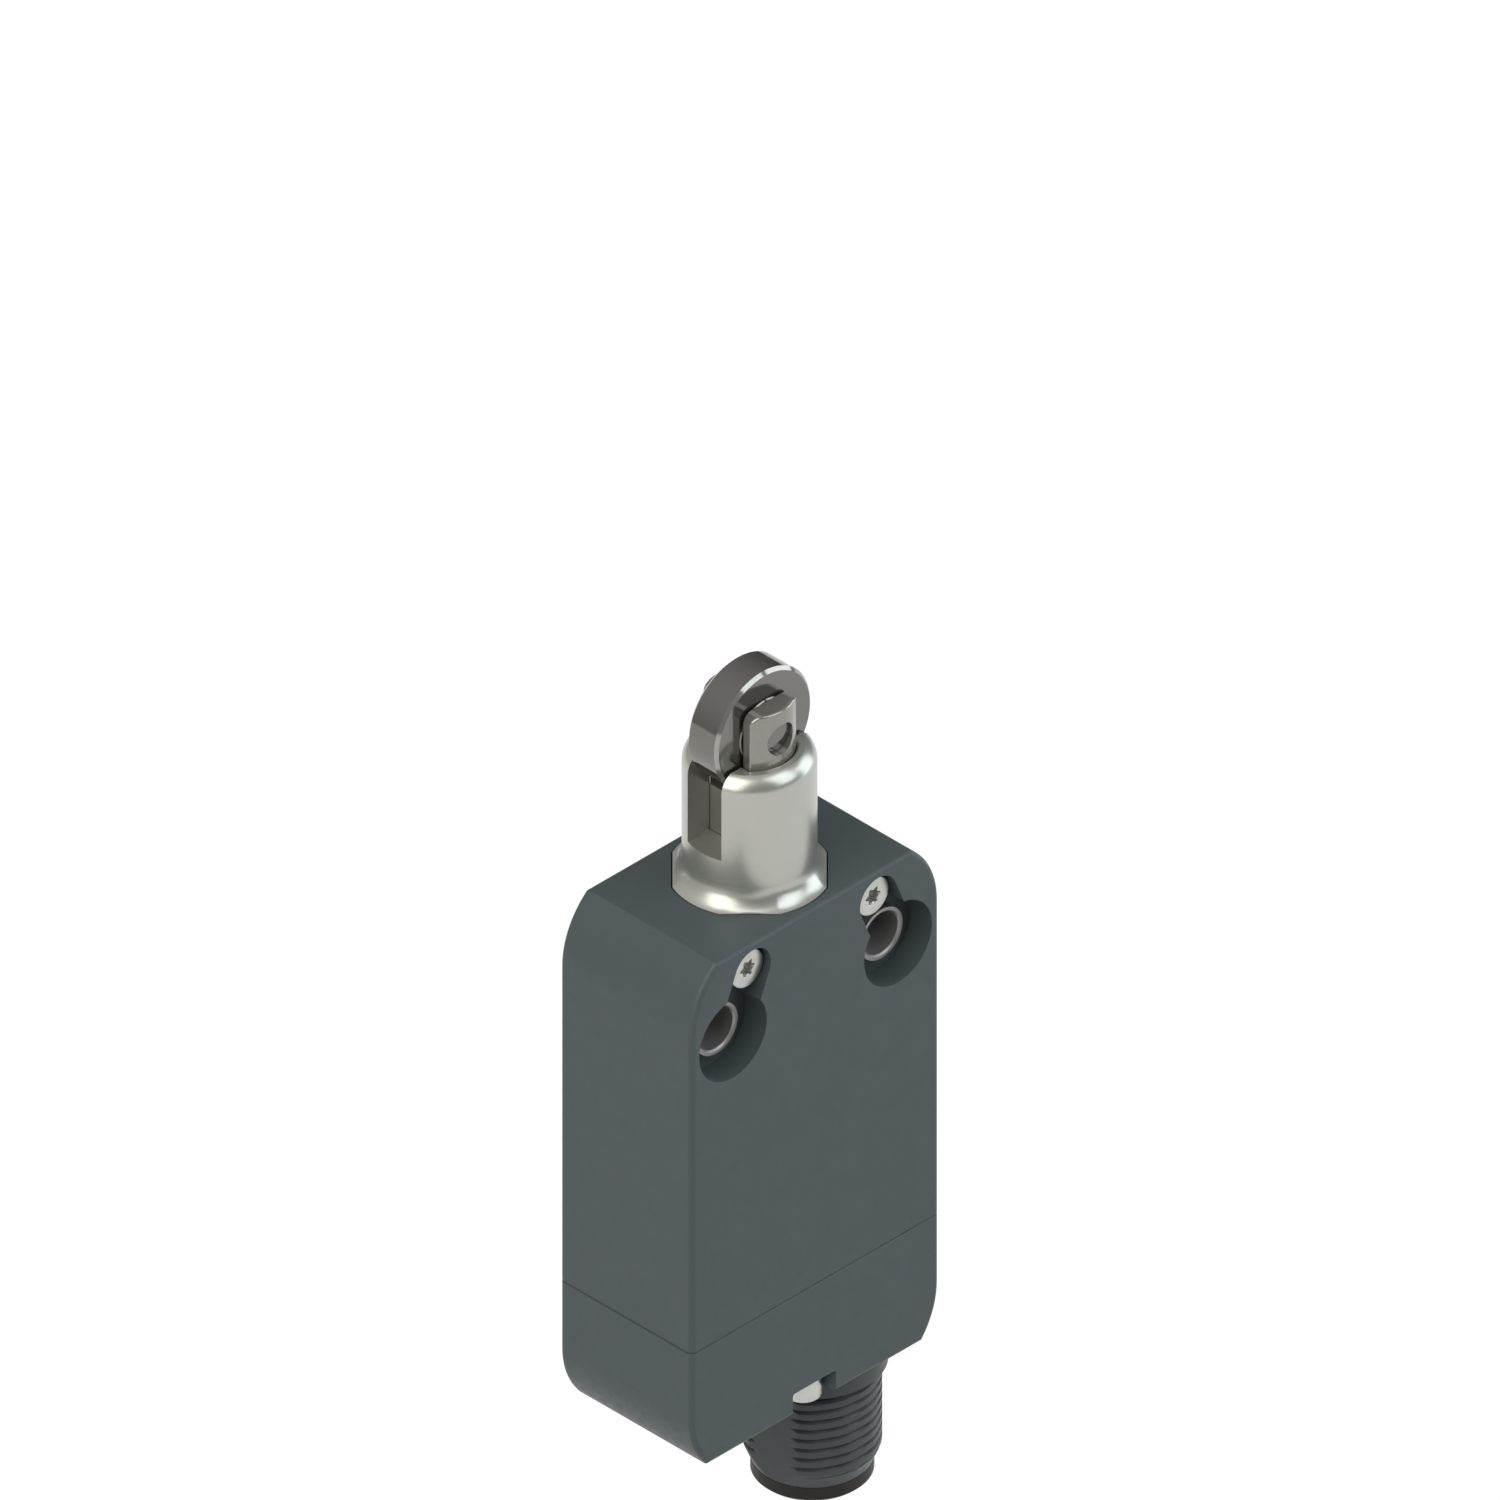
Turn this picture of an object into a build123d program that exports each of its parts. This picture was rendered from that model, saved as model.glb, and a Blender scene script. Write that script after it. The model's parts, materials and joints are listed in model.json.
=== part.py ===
from build123d import *
import math
import os

os.makedirs("parts", exist_ok=True)

# Roller plunger switch, in millimetres.
# X runs across the switch, Y points into the wall that it is fixed to, Z points up.
# The origin is on the back face, midway between the two fixing holes.

# Body
body_width = 30.0
body_depth = 16.0
upper_height = 39.5
base_height = 12.5
hole_to_top = 8.7
corner_radius = 8.3
top_corner_drop = 6.5
base_corner_rise = 5.4
edge_radius = 0.5
parting_chamfer = 0.12
side_wall = 1.8
front_wall = 1.6
base_floor = 4.5
cavity_corner_radius = 1.0

# Fixing holes
hole_inset = 5.0
hole_radius = 2.1
bush_radius = 2.55
bush_recess = 2.0
bush_chamfer = 0.15
counterbore_radius = 4.1
counterbore_depth = 2.8
roof_thickness = 1.6

# Guide head
sleeve_radius = 5.83
sleeve_height = 13.3
dome_radius = 1.9
lip_radius = 4.82
mouth_chamfer = 0.2
flare_radius = 1.27
head_flat = 6.6
head_gap = 0.12
spigot_depth = 5.0
tube_radius = 5.4
tube_length = 7.5
tube_gap = 0.2
slot_width = 4.1
slot_floor_height = 4.7
flat_bore_gap = 0.3

# Head screws
head_screw_offset = 0.5
head_screw_drop = 2.85
head_screw_head_radius = 1.93
head_screw_head_height = 1.4
head_screw_recess = 0.6
head_screw_radius = 1.1
head_screw_length = 10.0
head_screw_edge = 0.15
pocket_radius = 2.2
screw_gap = 0.08

# Plunger, roller and axle
plunger_radius = 4.0
plunger_gap = 0.07
plunger_flat = 2.8
plunger_travel = 4.8
roller_radius = 5.83
roller_width = 3.6
roller_bevel_width = 0.5
roller_bevel_drop = 0.1
hub_radius = 3.05
hub_height = 0.12
hub_chamfer = 0.08
roller_height = 15.7
roller_gap = 0.05
fork_gap = 0.08
fork_floor_gap = 0.4
ear_height = 3.0
ear_corner_radius = 1.0
ear_edge_radius = 0.2
ear_inner_chamfer = 0.06
axle_radius = 1.56
axle_length = 5.8
axle_chamfer = 0.15
land_top_drop = 0.7
land_length = 4.2
stem_radius = 1.8
stem_gap = 0.1
stem_end = 1.0
clip_radius = 3.0
clip_thickness = 0.6
clip_groove_depth = 0.5
clip_gap = 0.05
stop_gap = 0.1
spring_seat_radius = 4.6
spring_seat_thickness = 1.0

# Rubber rings, by the radius of their section
plunger_ring_section = 0.45
head_ring_section = 0.5
connector_ring_section = 0.45
ring_sides = 8
ring_groove_play = 0.1
ring_slide_gap = 0.05

# Springs, by the radius of their wire
wire_sides = 6
return_wire = 0.35
return_turns = 5
carrier_wire = 0.18
carrier_turns = 5
carrier_spring_radius = 1.2
contact_wire = 0.15
contact_turns = 3
contact_spring_radius = 0.9
contact_spring_length = 2.0

# Contact block
block_gap = 0.3
block_wall = 0.8
block_roof = 1.0
block_floor = 1.2
block_overhang = 1.0
block_corner_radius = 0.7
block_post = 2.4
clearance = 0.3
carrier_width = 4.0
carrier_side_gap = 0.1
carrier_gap = 0.08
carrier_roof = 1.1
carrier_web = 1.0
carrier_foot = 1.3
carrier_pocket_depth = 1.5
carrier_pocket_radius = 1.55
pusher_radius = 1.9
pusher_gap = 0.1
window_depth = 2.8
contact_wipe = 0.6
closed_gap = 0.02
bridge_width = 2.4
bridge_thickness = 0.5
bridge_tail = 1.2
tip_inset = 4.0
tip_radius = 0.9
tip_height = 0.4
strip_thickness = 0.5
leg_inset = 1.4
leg_width = 1.6
lane_offset = 1.8
shoulder_length = 2.3
spigot_radius = 0.9
spigot_height = 1.2
guide_rib = 0.8
guide_rib_gap = 0.4

# Terminal board
board_gap = 1.1
board_thickness = 1.2
board_inset = 0.2
board_depth = 6.4
board_corner_radius = 0.6
tail_length = 0.3

# Base screws, gasket and the notch that shows the front screw
base_screw_offset = 6.7
base_screw_inset = 0.15 * body_depth
base_screw_head_radius = 1.62
base_screw_proud = 0.55
base_screw_radius = 1.0
base_screw_grip = 3.5
base_screw_edge = 0.1
boss_radius = 2.1
boss_height = 4.5
notch_reach_left = 3.64
notch_reach_right = 1.6
notch_height = 2.27
notch_corner_radius = 0.25
screw_pocket_gap = 0.18
corner_post = 2.0
gasket_width = 0.8
gasket_height = 0.7

# Connector
connector_inset = 7.4
thread_radius = 6.0
thread_core_radius = 5.33
thread_length = 7.8
thread_end_length = 1.35
undercut_length = 0.56
nose_length = 1.75
thread_flat = 5.33
thread_flat_angle = 186.0
collar_radius = 6.55
collar_drop = 2.84
collar_seat = 2.5
collar_gap = 0.05
neck_radius = 4.4
neck_length = 4.9
shell_bore_radius = 4.9
shell_bore_top = 1.0
insert_ring_length = 1.5
insert_ring_edge = 0.3
insert_stem_radius = 3.5
socket_radius = 4.3
socket_depth = 9.4
pin_radius = 0.5
pin_circle_radius = 2.5
pin_count = 4
pin_recess = 2.2
nut_radius = 5.3
nut_slot_width = 1.4
nut_slot_depth = 0.4
nut_slots = 4
nut_thickness = 2.2
key_width = 0.9
key_height = 0.5

# Levels and places worked out from the sizes above
mid_y = -body_depth / 2
body_top = hole_to_top
parting_z = body_top - upper_height
body_bottom = parting_z - base_height
body_height = upper_height + base_height
cavity_width = body_width - 2 * side_wall
cavity_depth = body_depth - 2 * front_wall
cavity_top = -counterbore_radius - roof_thickness
floor_z = body_bottom + base_floor
hole_spacing = body_width - 2 * hole_inset
head_radius = sleeve_radius + flare_radius
head_screw_spacing = 2 * (head_radius + head_screw_offset)
bore_radius = plunger_radius + plunger_gap
shoulder_z = body_top - spigot_depth
tube_bottom = shoulder_z - tube_length
sleeve_top = body_top + sleeve_height
slot_floor = body_top + slot_floor_height
head_screw_z = body_top - head_screw_drop
pocket_depth = head_screw_recess + head_screw_head_height
roller_z = body_top + roller_height
fork_floor = roller_z - roller_radius - fork_floor_gap
ear_top = roller_z + ear_height
land_top = slot_floor - land_top_drop
land_bottom = land_top - land_length
flat_bore_bottom = land_top + flat_bore_gap
spring_seat_top = tube_bottom + spring_seat_thickness
clip_top = tube_bottom - stop_gap
clip_bottom = clip_top - clip_thickness
plunger_end = clip_bottom - stem_end
clip_groove_radius = stem_radius - clip_groove_depth
block_width = cavity_width - 2 * block_gap
block_depth = cavity_depth - 2 * block_gap
leg_spacing = block_width - 2 * leg_inset
tip_spacing = leg_spacing - 2 * tip_inset
board_width = block_width - 2 * board_inset
block_top = clip_bottom - plunger_travel - clearance
block_bottom = parting_z - block_overhang
block_roof_z = block_top - block_roof
block_floor_z = block_bottom + block_floor
screw_reach = base_screw_inset + boss_radius + block_gap + block_wall
carrier_depth = body_depth - 2 * (screw_reach + carrier_side_gap)
carrier_top = block_roof_z - clearance
nc_window_top = carrier_top - carrier_roof
nc_bridge_top = nc_window_top - contact_wipe
nc_bridge_bottom = nc_bridge_top - bridge_thickness
nc_window_bottom = nc_bridge_bottom - contact_spring_length
no_window_top = nc_window_bottom - carrier_web
no_bridge_top = no_window_top - contact_spring_length
no_bridge_bottom = no_bridge_top - bridge_thickness
no_window_bottom = no_bridge_bottom - closed_gap
carrier_pocket_top = no_window_bottom - carrier_foot
carrier_bottom = carrier_pocket_top - carrier_pocket_depth
bridge_travel = plunger_travel - contact_wipe
nc_tongue_z = nc_bridge_top + 2 * tip_height + closed_gap
no_tip_z = no_bridge_bottom - tip_height - bridge_travel - closed_gap
no_tongue_z = no_tip_z - tip_height - strip_thickness
board_top = block_bottom - board_gap
board_bottom = board_top - board_thickness
connector_x = body_width / 2 - connector_inset
base_screw_x = connector_x - base_screw_offset
notch_left = base_screw_x - notch_reach_left
notch_right = base_screw_x + notch_reach_right
collar_bottom = body_bottom - collar_drop
thread_top = collar_bottom - undercut_length
thread_bottom = thread_top - thread_length
nose_bottom = thread_bottom - nose_length
insert_bottom = nose_bottom - insert_ring_length
socket_top = insert_bottom + socket_depth
collar_top = body_bottom + collar_seat
neck_top = collar_top + neck_length

hole_points = [(-hole_spacing / 2, 0), (hole_spacing / 2, 0)]
head_screw_points = [(side * head_screw_spacing / 2, head_screw_z) for side in (-1, 1)]
front_screw_y = -body_depth + base_screw_inset
back_screw_y = -base_screw_inset
base_screw_points = [(base_screw_x, front_screw_y), (base_screw_x, back_screw_y)]
tip_points = [(-tip_spacing / 2, 0), (tip_spacing / 2, 0)]

front = Plane.XZ.offset(body_depth)
middle = Plane.XZ.offset(body_depth / 2)
head_axis = Axis((0, mid_y, 0), (0, 0, 1))


def head_level(z):
    """Horizontal plane at height z, centred on the plunger's axis."""
    return Plane((0, mid_y, z))


def connector_level(z):
    """Horizontal plane at height z, centred on the connector's axis."""
    return Plane((connector_x, mid_y, z))


# Whole body, before it is parted into two housings. Its corner arcs belong to a taller
# outline, which the flat top and the flat underside cut short of its full height.
arc_top = body_top + corner_radius - top_corner_drop
arc_bottom = body_bottom - corner_radius + base_corner_rise
with BuildPart() as body:
    with BuildSketch(Plane.XZ):
        with Locations((0, (arc_top + arc_bottom) / 2)):
            RectangleRounded(body_width, arc_top - arc_bottom, corner_radius)
        with Locations((0, (body_top + body_bottom) / 2)):
            Rectangle(body_width, body_height, mode=Mode.INTERSECT)
    extrude(amount=body_depth)
    outlines = body.faces().filter_by(Axis.Y).edges()
    fillet(outlines, edge_radius)

# Section of the guide head's foot: round, with a flat on each diagonal
with BuildSketch() as foot_section:
    Circle(head_radius)
    Rectangle(2 * head_flat, 2 * head_flat, rotation=45, mode=Mode.INTERSECT)

# Section of the contact block: it slides up past the two screw bosses
with BuildSketch() as block_section:
    RectangleRounded(block_width, block_depth, block_corner_radius)
    for y in (front_screw_y - mid_y, back_screw_y - mid_y):
        edge_y = math.copysign(block_depth / 2 + boss_radius, y)
        groove = 2 * (boss_radius + block_gap)
        SlotCenterPoint((base_screw_x, edge_y), (base_screw_x, y), groove, mode=Mode.SUBTRACT)

# Upper housing
with BuildPart() as upper_housing:
    add(body.part)
    split(bisect_by=Plane.XY.offset(parting_z), keep=Keep.TOP)
    parting_face = upper_housing.faces().sort_by(Axis.Z)[0]
    chamfer(parting_face.outer_wire().edges(), parting_chamfer)
    with BuildSketch(head_level(parting_z)):
        RectangleRounded(cavity_width, cavity_depth, cavity_corner_radius)
    extrude(amount=cavity_top - parting_z, mode=Mode.SUBTRACT)
    with BuildSketch(Plane.XY.offset(parting_z)):
        with Locations(*base_screw_points):
            Circle(boss_radius)
    extrude(amount=boss_height)
    with BuildSketch(Plane.XY.offset(parting_z)):
        with Locations(*base_screw_points):
            Circle(base_screw_radius)
    extrude(amount=base_screw_grip + clearance, mode=Mode.SUBTRACT)
    with BuildSketch(head_level(shoulder_z)):
        offset(foot_section.sketch, amount=head_gap, kind=Kind.INTERSECTION)
    extrude(amount=spigot_depth, mode=Mode.SUBTRACT)
    with BuildSketch(head_level(cavity_top)):
        Circle(tube_radius + tube_gap)
    extrude(amount=shoulder_z - cavity_top, mode=Mode.SUBTRACT)
    with BuildSketch(front):
        with Locations(*hole_points):
            Circle(counterbore_radius)
    extrude(amount=-counterbore_depth, mode=Mode.SUBTRACT)
    with BuildSketch(front):
        for screw, hole in zip(head_screw_points, hole_points):
            halfway = ((screw[0] + hole[0]) / 2, (screw[1] + hole[1]) / 2)
            SlotCenterPoint(halfway, screw, 2 * pocket_radius)
    extrude(amount=-pocket_depth, mode=Mode.SUBTRACT)
    with BuildSketch(front):
        with Locations(*hole_points):
            Circle(bush_radius)
    extrude(amount=-body_depth, mode=Mode.SUBTRACT)
    with BuildSketch(front):
        with Locations(*head_screw_points):
            Circle(head_screw_radius + screw_gap)
    extrude(amount=-(pocket_depth + head_screw_length + clearance), mode=Mode.SUBTRACT)
upper_housing.part.label = "upper_housing"
export_step(upper_housing.part, "parts/upper_housing.step")

# Base housing
notch_width = notch_right - notch_left
notch_x = (notch_left + notch_right) / 2
with BuildPart() as base_housing:
    add(body.part)
    split(bisect_by=Plane.XY.offset(parting_z), keep=Keep.BOTTOM)
    parting_face = base_housing.faces().sort_by(Axis.Z)[-1]
    chamfer(parting_face.outer_wire().edges(), parting_chamfer)
    with BuildSketch(head_level(floor_z)):
        RectangleRounded(cavity_width, cavity_depth, cavity_corner_radius)
    extrude(amount=parting_z - floor_z, mode=Mode.SUBTRACT)
    with BuildSketch(head_level(floor_z)):
        with GridLocations(cavity_width - corner_post, cavity_depth - corner_post, 2, 2):
            Rectangle(corner_post, corner_post)
        with Locations((connector_x, 0)):
            Circle(nut_radius + clearance, mode=Mode.SUBTRACT)
    extrude(amount=block_bottom - floor_z)
    with BuildSketch(Plane.XY.offset(floor_z)):
        with Locations(*base_screw_points):
            Circle(boss_radius)
    extrude(amount=parting_z - floor_z)
    with BuildSketch(Plane.XY.offset(body_bottom)):
        with Locations(*base_screw_points):
            Circle(base_screw_radius + screw_gap)
    extrude(amount=base_height, mode=Mode.SUBTRACT)
    with BuildSketch(Plane.XY.offset(body_bottom)):
        with Locations(*base_screw_points):
            Circle(base_screw_head_radius + screw_pocket_gap)
    extrude(amount=notch_height, mode=Mode.SUBTRACT)
    with BuildSketch(front):
        with Locations((notch_x, body_bottom)):
            RectangleRounded(notch_width, 2 * notch_height, notch_corner_radius)
    extrude(amount=-base_screw_inset, mode=Mode.SUBTRACT)
    with BuildSketch(connector_level(body_bottom)):
        Circle(collar_radius + collar_gap)
    extrude(amount=collar_seat, mode=Mode.SUBTRACT)
    with BuildSketch(connector_level(body_bottom)):
        Circle(neck_radius + collar_gap)
    extrude(amount=base_floor, mode=Mode.SUBTRACT)
    gasket_centre_width = (body_width + cavity_width) / 2
    gasket_centre_depth = (body_depth + cavity_depth) / 2
    with BuildSketch(head_level(parting_z)):
        RectangleRounded(
            gasket_centre_width + gasket_width,
            gasket_centre_depth + gasket_width,
            cavity_corner_radius + gasket_width,
        )
        RectangleRounded(
            gasket_centre_width - gasket_width,
            gasket_centre_depth - gasket_width,
            cavity_corner_radius,
            mode=Mode.SUBTRACT,
        )
    extrude(amount=-gasket_height, mode=Mode.SUBTRACT)
base_housing.part.label = "base_housing"
export_step(base_housing.part, "parts/base_housing.step")

# Gasket that fills the groove in the rim of the base
with BuildPart() as base_gasket:
    with BuildSketch(head_level(parting_z)):
        RectangleRounded(
            gasket_centre_width + gasket_width,
            gasket_centre_depth + gasket_width,
            cavity_corner_radius + gasket_width,
        )
        RectangleRounded(
            gasket_centre_width - gasket_width,
            gasket_centre_depth - gasket_width,
            cavity_corner_radius,
            mode=Mode.SUBTRACT,
        )
    extrude(amount=-gasket_height)
base_gasket.part.label = "base_gasket"
export_step(base_gasket.part, "parts/base_gasket.step")

# Base screws, from the underside up into the bosses of the upper housing
with BuildPart() as base_screws:
    with BuildSketch(Plane.XY.offset(body_bottom + notch_height)):
        with Locations(*base_screw_points):
            Circle(base_screw_head_radius)
    extrude(amount=-(notch_height + base_screw_proud))
    chamfer(base_screws.faces().sort_by(Axis.Z)[:2].edges(), base_screw_edge)
    with BuildSketch(Plane.XY.offset(body_bottom + notch_height)):
        with Locations(*base_screw_points):
            Circle(base_screw_radius)
    extrude(amount=base_height - notch_height + base_screw_grip)
base_screws.part.label = "base_screws"
export_step(base_screws.part, "parts/base_screws.step")

# Steel bushes that line the fixing holes
for side, name in ((-1, "mounting_bush_left"), (1, "mounting_bush_right")):
    with BuildPart() as bush:
        with BuildSketch(Plane.XZ):
            with Locations((side * hole_spacing / 2, 0)):
                Circle(bush_radius)
                Circle(hole_radius, mode=Mode.SUBTRACT)
        extrude(amount=body_depth - bush_recess)
        rims = bush.faces().filter_by(Axis.Y).edges().filter_by(GeomType.CIRCLE)
        chamfer(rims.filter_by(lambda rim: rim.radius < bush_radius - bush_chamfer), bush_chamfer)
    bush.part.label = name
    export_step(bush.part, f"parts/{name}.step")

# Guide head: flared sleeve, keyed foot and the tube that holds the return spring
dome_centre_radius = sleeve_radius - dome_radius
dome_angle = math.degrees(math.acos((lip_radius - dome_centre_radius) / dome_radius))
dome_rise = dome_radius * math.sin(math.radians(dome_angle))
dome_start = sleeve_top - dome_rise
head_groove_radius = tube_radius + tube_gap - 2 * head_ring_section
head_groove_height = 2 * head_ring_section + ring_groove_play
head_groove_top = shoulder_z - head_ring_section
with BuildPart() as guide_head:
    with BuildSketch(middle):
        with BuildLine():
            Polyline(
                (0, sleeve_top),
                (0, spring_seat_top),
                (spring_seat_radius, spring_seat_top),
                (spring_seat_radius, tube_bottom),
                (tube_radius, tube_bottom),
                (tube_radius, head_groove_top - head_groove_height),
                (head_groove_radius, head_groove_top - head_groove_height),
                (head_groove_radius, head_groove_top),
                (tube_radius, head_groove_top),
                (tube_radius, shoulder_z),
                (head_radius, shoulder_z),
                (head_radius, body_top),
            )
            CenterArc((head_radius, body_top + flare_radius), flare_radius, 270, -90)
            Line((sleeve_radius, body_top + flare_radius), (sleeve_radius, dome_start))
            CenterArc((dome_centre_radius, dome_start), dome_radius, 0, dome_angle)
            Line((lip_radius, sleeve_top), (0, sleeve_top))
        make_face()
    revolve(axis=head_axis)
    with BuildSketch(head_level(spring_seat_top)):
        Circle(bore_radius)
        Rectangle(2 * (plunger_flat + plunger_gap), 2 * bore_radius, mode=Mode.INTERSECT)
    extrude(amount=sleeve_top - spring_seat_top, mode=Mode.SUBTRACT)
    lip_face = guide_head.faces().sort_by(Axis.Z)[-1]
    chamfer(lip_face.inner_wires()[0].edges(), mouth_chamfer)
    with BuildSketch(head_level(spring_seat_top)):
        Circle(bore_radius)
    extrude(amount=flat_bore_bottom - spring_seat_top, mode=Mode.SUBTRACT)
    with BuildSketch(head_level(shoulder_z)):
        Circle(2 * head_radius)
        Rectangle(2 * head_flat, 2 * head_flat, rotation=45, mode=Mode.SUBTRACT)
    extrude(amount=spigot_depth + flare_radius, mode=Mode.SUBTRACT)
    with BuildSketch(head_level(slot_floor)):
        Rectangle(3 * sleeve_radius, slot_width)
    extrude(amount=sleeve_height, mode=Mode.SUBTRACT)
    channel_radius = head_screw_radius + screw_gap
    with BuildSketch(front):
        with Locations(*head_screw_points):
            Circle(channel_radius)
    extrude(amount=-body_depth, mode=Mode.SUBTRACT)
    with BuildSketch(Plane.YZ.offset(-body_width / 2)):
        with Locations(*[(mid_y + x, z) for x, z in head_screw_points]):
            Circle(channel_radius)
    extrude(amount=body_width, mode=Mode.SUBTRACT)
guide_head.part.label = "guide_head"
export_step(guide_head.part, "parts/guide_head.step")


def rubber_ring(plane, centre_radius, section_radius):
    """O-ring round the local Z axis of a plane, its round section drawn with eight sides."""
    section_plane = Plane(plane.origin, x_dir=plane.x_dir, z_dir=-plane.y_dir)
    with BuildPart() as ring:
        with BuildSketch(section_plane):
            with Locations((centre_radius, 0)):
                RegularPolygon(section_radius, ring_sides, major_radius=False, rotation=180 / ring_sides)
        revolve(axis=Axis(plane.origin, plane.z_dir))
    return ring.part


# O-ring between the guide head's tube and the housing
with BuildPart() as head_o_ring:
    ring_z = head_groove_top - head_groove_height / 2
    add(rubber_ring(head_level(ring_z), head_groove_radius + head_ring_section, head_ring_section))
head_o_ring.part.label = "head_o_ring"
export_step(head_o_ring.part, "parts/head_o_ring.step")

# Head screws: their shanks lie in the channels of the keyed foot and hold the head down
with BuildPart() as head_screws:
    with BuildSketch(front.offset(-head_screw_recess)):
        with Locations(*head_screw_points):
            Circle(head_screw_head_radius)
    extrude(amount=-head_screw_head_height)
    chamfer(head_screws.faces().sort_by(Axis.Y)[:2].edges(), head_screw_edge)
    with BuildSketch(front.offset(-pocket_depth)):
        with Locations(*head_screw_points):
            Circle(head_screw_radius)
    extrude(amount=-head_screw_length)
head_screws.part.label = "head_screws"
export_step(head_screws.part, "parts/head_screws.step")

# Plunger: fork with two ears, sealing land and stem
ring_groove_radius = bore_radius - ring_slide_gap - 2 * plunger_ring_section
ring_groove_height = 2 * plunger_ring_section + ring_groove_play
ring_groove_z = (land_top + land_bottom) / 2
fork_slot = roller_width + 2 * (hub_height + fork_gap)
with BuildPart() as plunger:
    with BuildSketch(head_level(land_top)):
        Circle(plunger_radius)
        Rectangle(2 * plunger_flat, 2 * plunger_radius, mode=Mode.INTERSECT)
    extrude(amount=ear_top - land_top)
    fillet(plunger.faces().sort_by(Axis.Z)[-1].edges().filter_by(Axis.Y), ear_corner_radius)
    sides = plunger.faces().sort_by(Axis.Y)
    outlines = sides[0].edges() + sides[-1].edges()
    fillet(outlines.filter_by(lambda edge: edge.center().Z > land_top + clearance), ear_edge_radius)
    with BuildSketch(head_level(fork_floor)):
        Rectangle(3 * plunger_radius, fork_slot)
    extrude(amount=ear_top - fork_floor, mode=Mode.SUBTRACT)
    cheeks = plunger.faces().filter_by(Axis.Y)
    outlines = cheeks[0].edges() + cheeks[1].edges()
    chamfer(outlines.filter_by(lambda edge: edge.center().Z > fork_floor + clearance), ear_inner_chamfer)
    with BuildSketch(head_level(land_bottom)):
        Circle(plunger_radius)
    extrude(amount=land_length)
    with BuildSketch(head_level(plunger_end)):
        Circle(stem_radius)
    extrude(amount=land_bottom - plunger_end)
    chamfer(plunger.faces().sort_by(Axis.Z)[0].edges(), mouth_chamfer)
    with BuildSketch(middle):
        with Locations((0, roller_z)):
            Circle(axle_radius)
    extrude(amount=plunger_radius, both=True, mode=Mode.SUBTRACT)
    with BuildSketch(head_level(ring_groove_z)):
        Circle(2 * plunger_radius)
        Circle(ring_groove_radius, mode=Mode.SUBTRACT)
    extrude(amount=ring_groove_height / 2, both=True, mode=Mode.SUBTRACT)
    with BuildSketch(head_level(clip_bottom - clip_gap)):
        Circle(2 * stem_radius)
        Circle(clip_groove_radius, mode=Mode.SUBTRACT)
    extrude(amount=clip_thickness + 2 * clip_gap, mode=Mode.SUBTRACT)
plunger.part.label = "plunger"
export_step(plunger.part, "parts/plunger.step")

# O-ring in the plunger's land
with BuildPart() as plunger_o_ring:
    ring_radius = ring_groove_radius + plunger_ring_section
    add(rubber_ring(head_level(ring_groove_z), ring_radius, plunger_ring_section))
plunger_o_ring.part.label = "plunger_o_ring"
export_step(plunger_o_ring.part, "parts/plunger_o_ring.step")

# Roller: shallow bevels on the rim and a low hub against each ear
hub_y = roller_width / 2 + hub_height
with BuildPart() as roller:
    with BuildSketch(Plane.YZ):
        with BuildLine():
            Polyline(
                (mid_y - hub_y, roller_z + axle_radius + roller_gap),
                (mid_y - hub_y, roller_z + hub_radius - hub_chamfer),
                (mid_y - hub_y + hub_chamfer, roller_z + hub_radius),
                (mid_y - roller_width / 2, roller_z + hub_radius),
                (mid_y - roller_width / 2, roller_z + roller_radius - roller_bevel_drop),
                (mid_y - roller_width / 2 + roller_bevel_width, roller_z + roller_radius),
                (mid_y, roller_z + roller_radius),
                (mid_y, roller_z + axle_radius + roller_gap),
                close=True,
            )
        make_face()
    revolve(axis=Axis((0, 0, roller_z), (0, 1, 0)))
    mirror(about=middle)
roller.part.label = "roller"
export_step(roller.part, "parts/roller.step")

# Axle, pressed into both ears with its ends below their faces
with BuildPart() as roller_axle:
    with BuildSketch(middle):
        with Locations((0, roller_z)):
            Circle(axle_radius)
    extrude(amount=axle_length / 2, both=True)
    chamfer(roller_axle.edges().filter_by(GeomType.CIRCLE), axle_chamfer)
roller_axle.part.label = "roller_axle"
export_step(roller_axle.part, "parts/roller_axle.step")

# Clip on the stem that stops the plunger against the spring seat
with BuildPart() as retaining_clip:
    with BuildSketch(head_level(clip_bottom)):
        Circle(clip_radius)
        Circle(clip_groove_radius, mode=Mode.SUBTRACT)
        with Locations((0, -clip_radius)):
            Rectangle(2 * clip_groove_radius, 2 * clip_radius, mode=Mode.SUBTRACT)
    extrude(amount=clip_thickness)
retaining_clip.part.label = "retaining_clip"
export_step(retaining_clip.part, "parts/retaining_clip.step")

# Seat pressed into the end of the guide head's tube, under the return spring
with BuildPart() as spring_seat:
    with BuildSketch(head_level(tube_bottom)):
        Circle(spring_seat_radius)
        Circle(stem_radius + stem_gap, mode=Mode.SUBTRACT)
    extrude(amount=spring_seat_thickness)
spring_seat.part.label = "spring_seat"
export_step(spring_seat.part, "parts/spring_seat.step")


def coil_spring(mean_radius, wire_radius, bottom, top, turns):
    """Compression spring on the plunger's axis, from one seat to the other."""
    rise = top - bottom - 2 * wire_radius
    with BuildPart() as spring:
        with BuildLine(head_level(bottom + wire_radius)) as coil:
            Helix(pitch=rise / turns, height=rise, radius=mean_radius)
        with BuildSketch(Plane(origin=coil.line @ 0, z_dir=coil.line % 0)):
            RegularPolygon(wire_radius, wire_sides)
        sweep(path=coil.line, is_frenet=True)
    return spring.part


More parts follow.
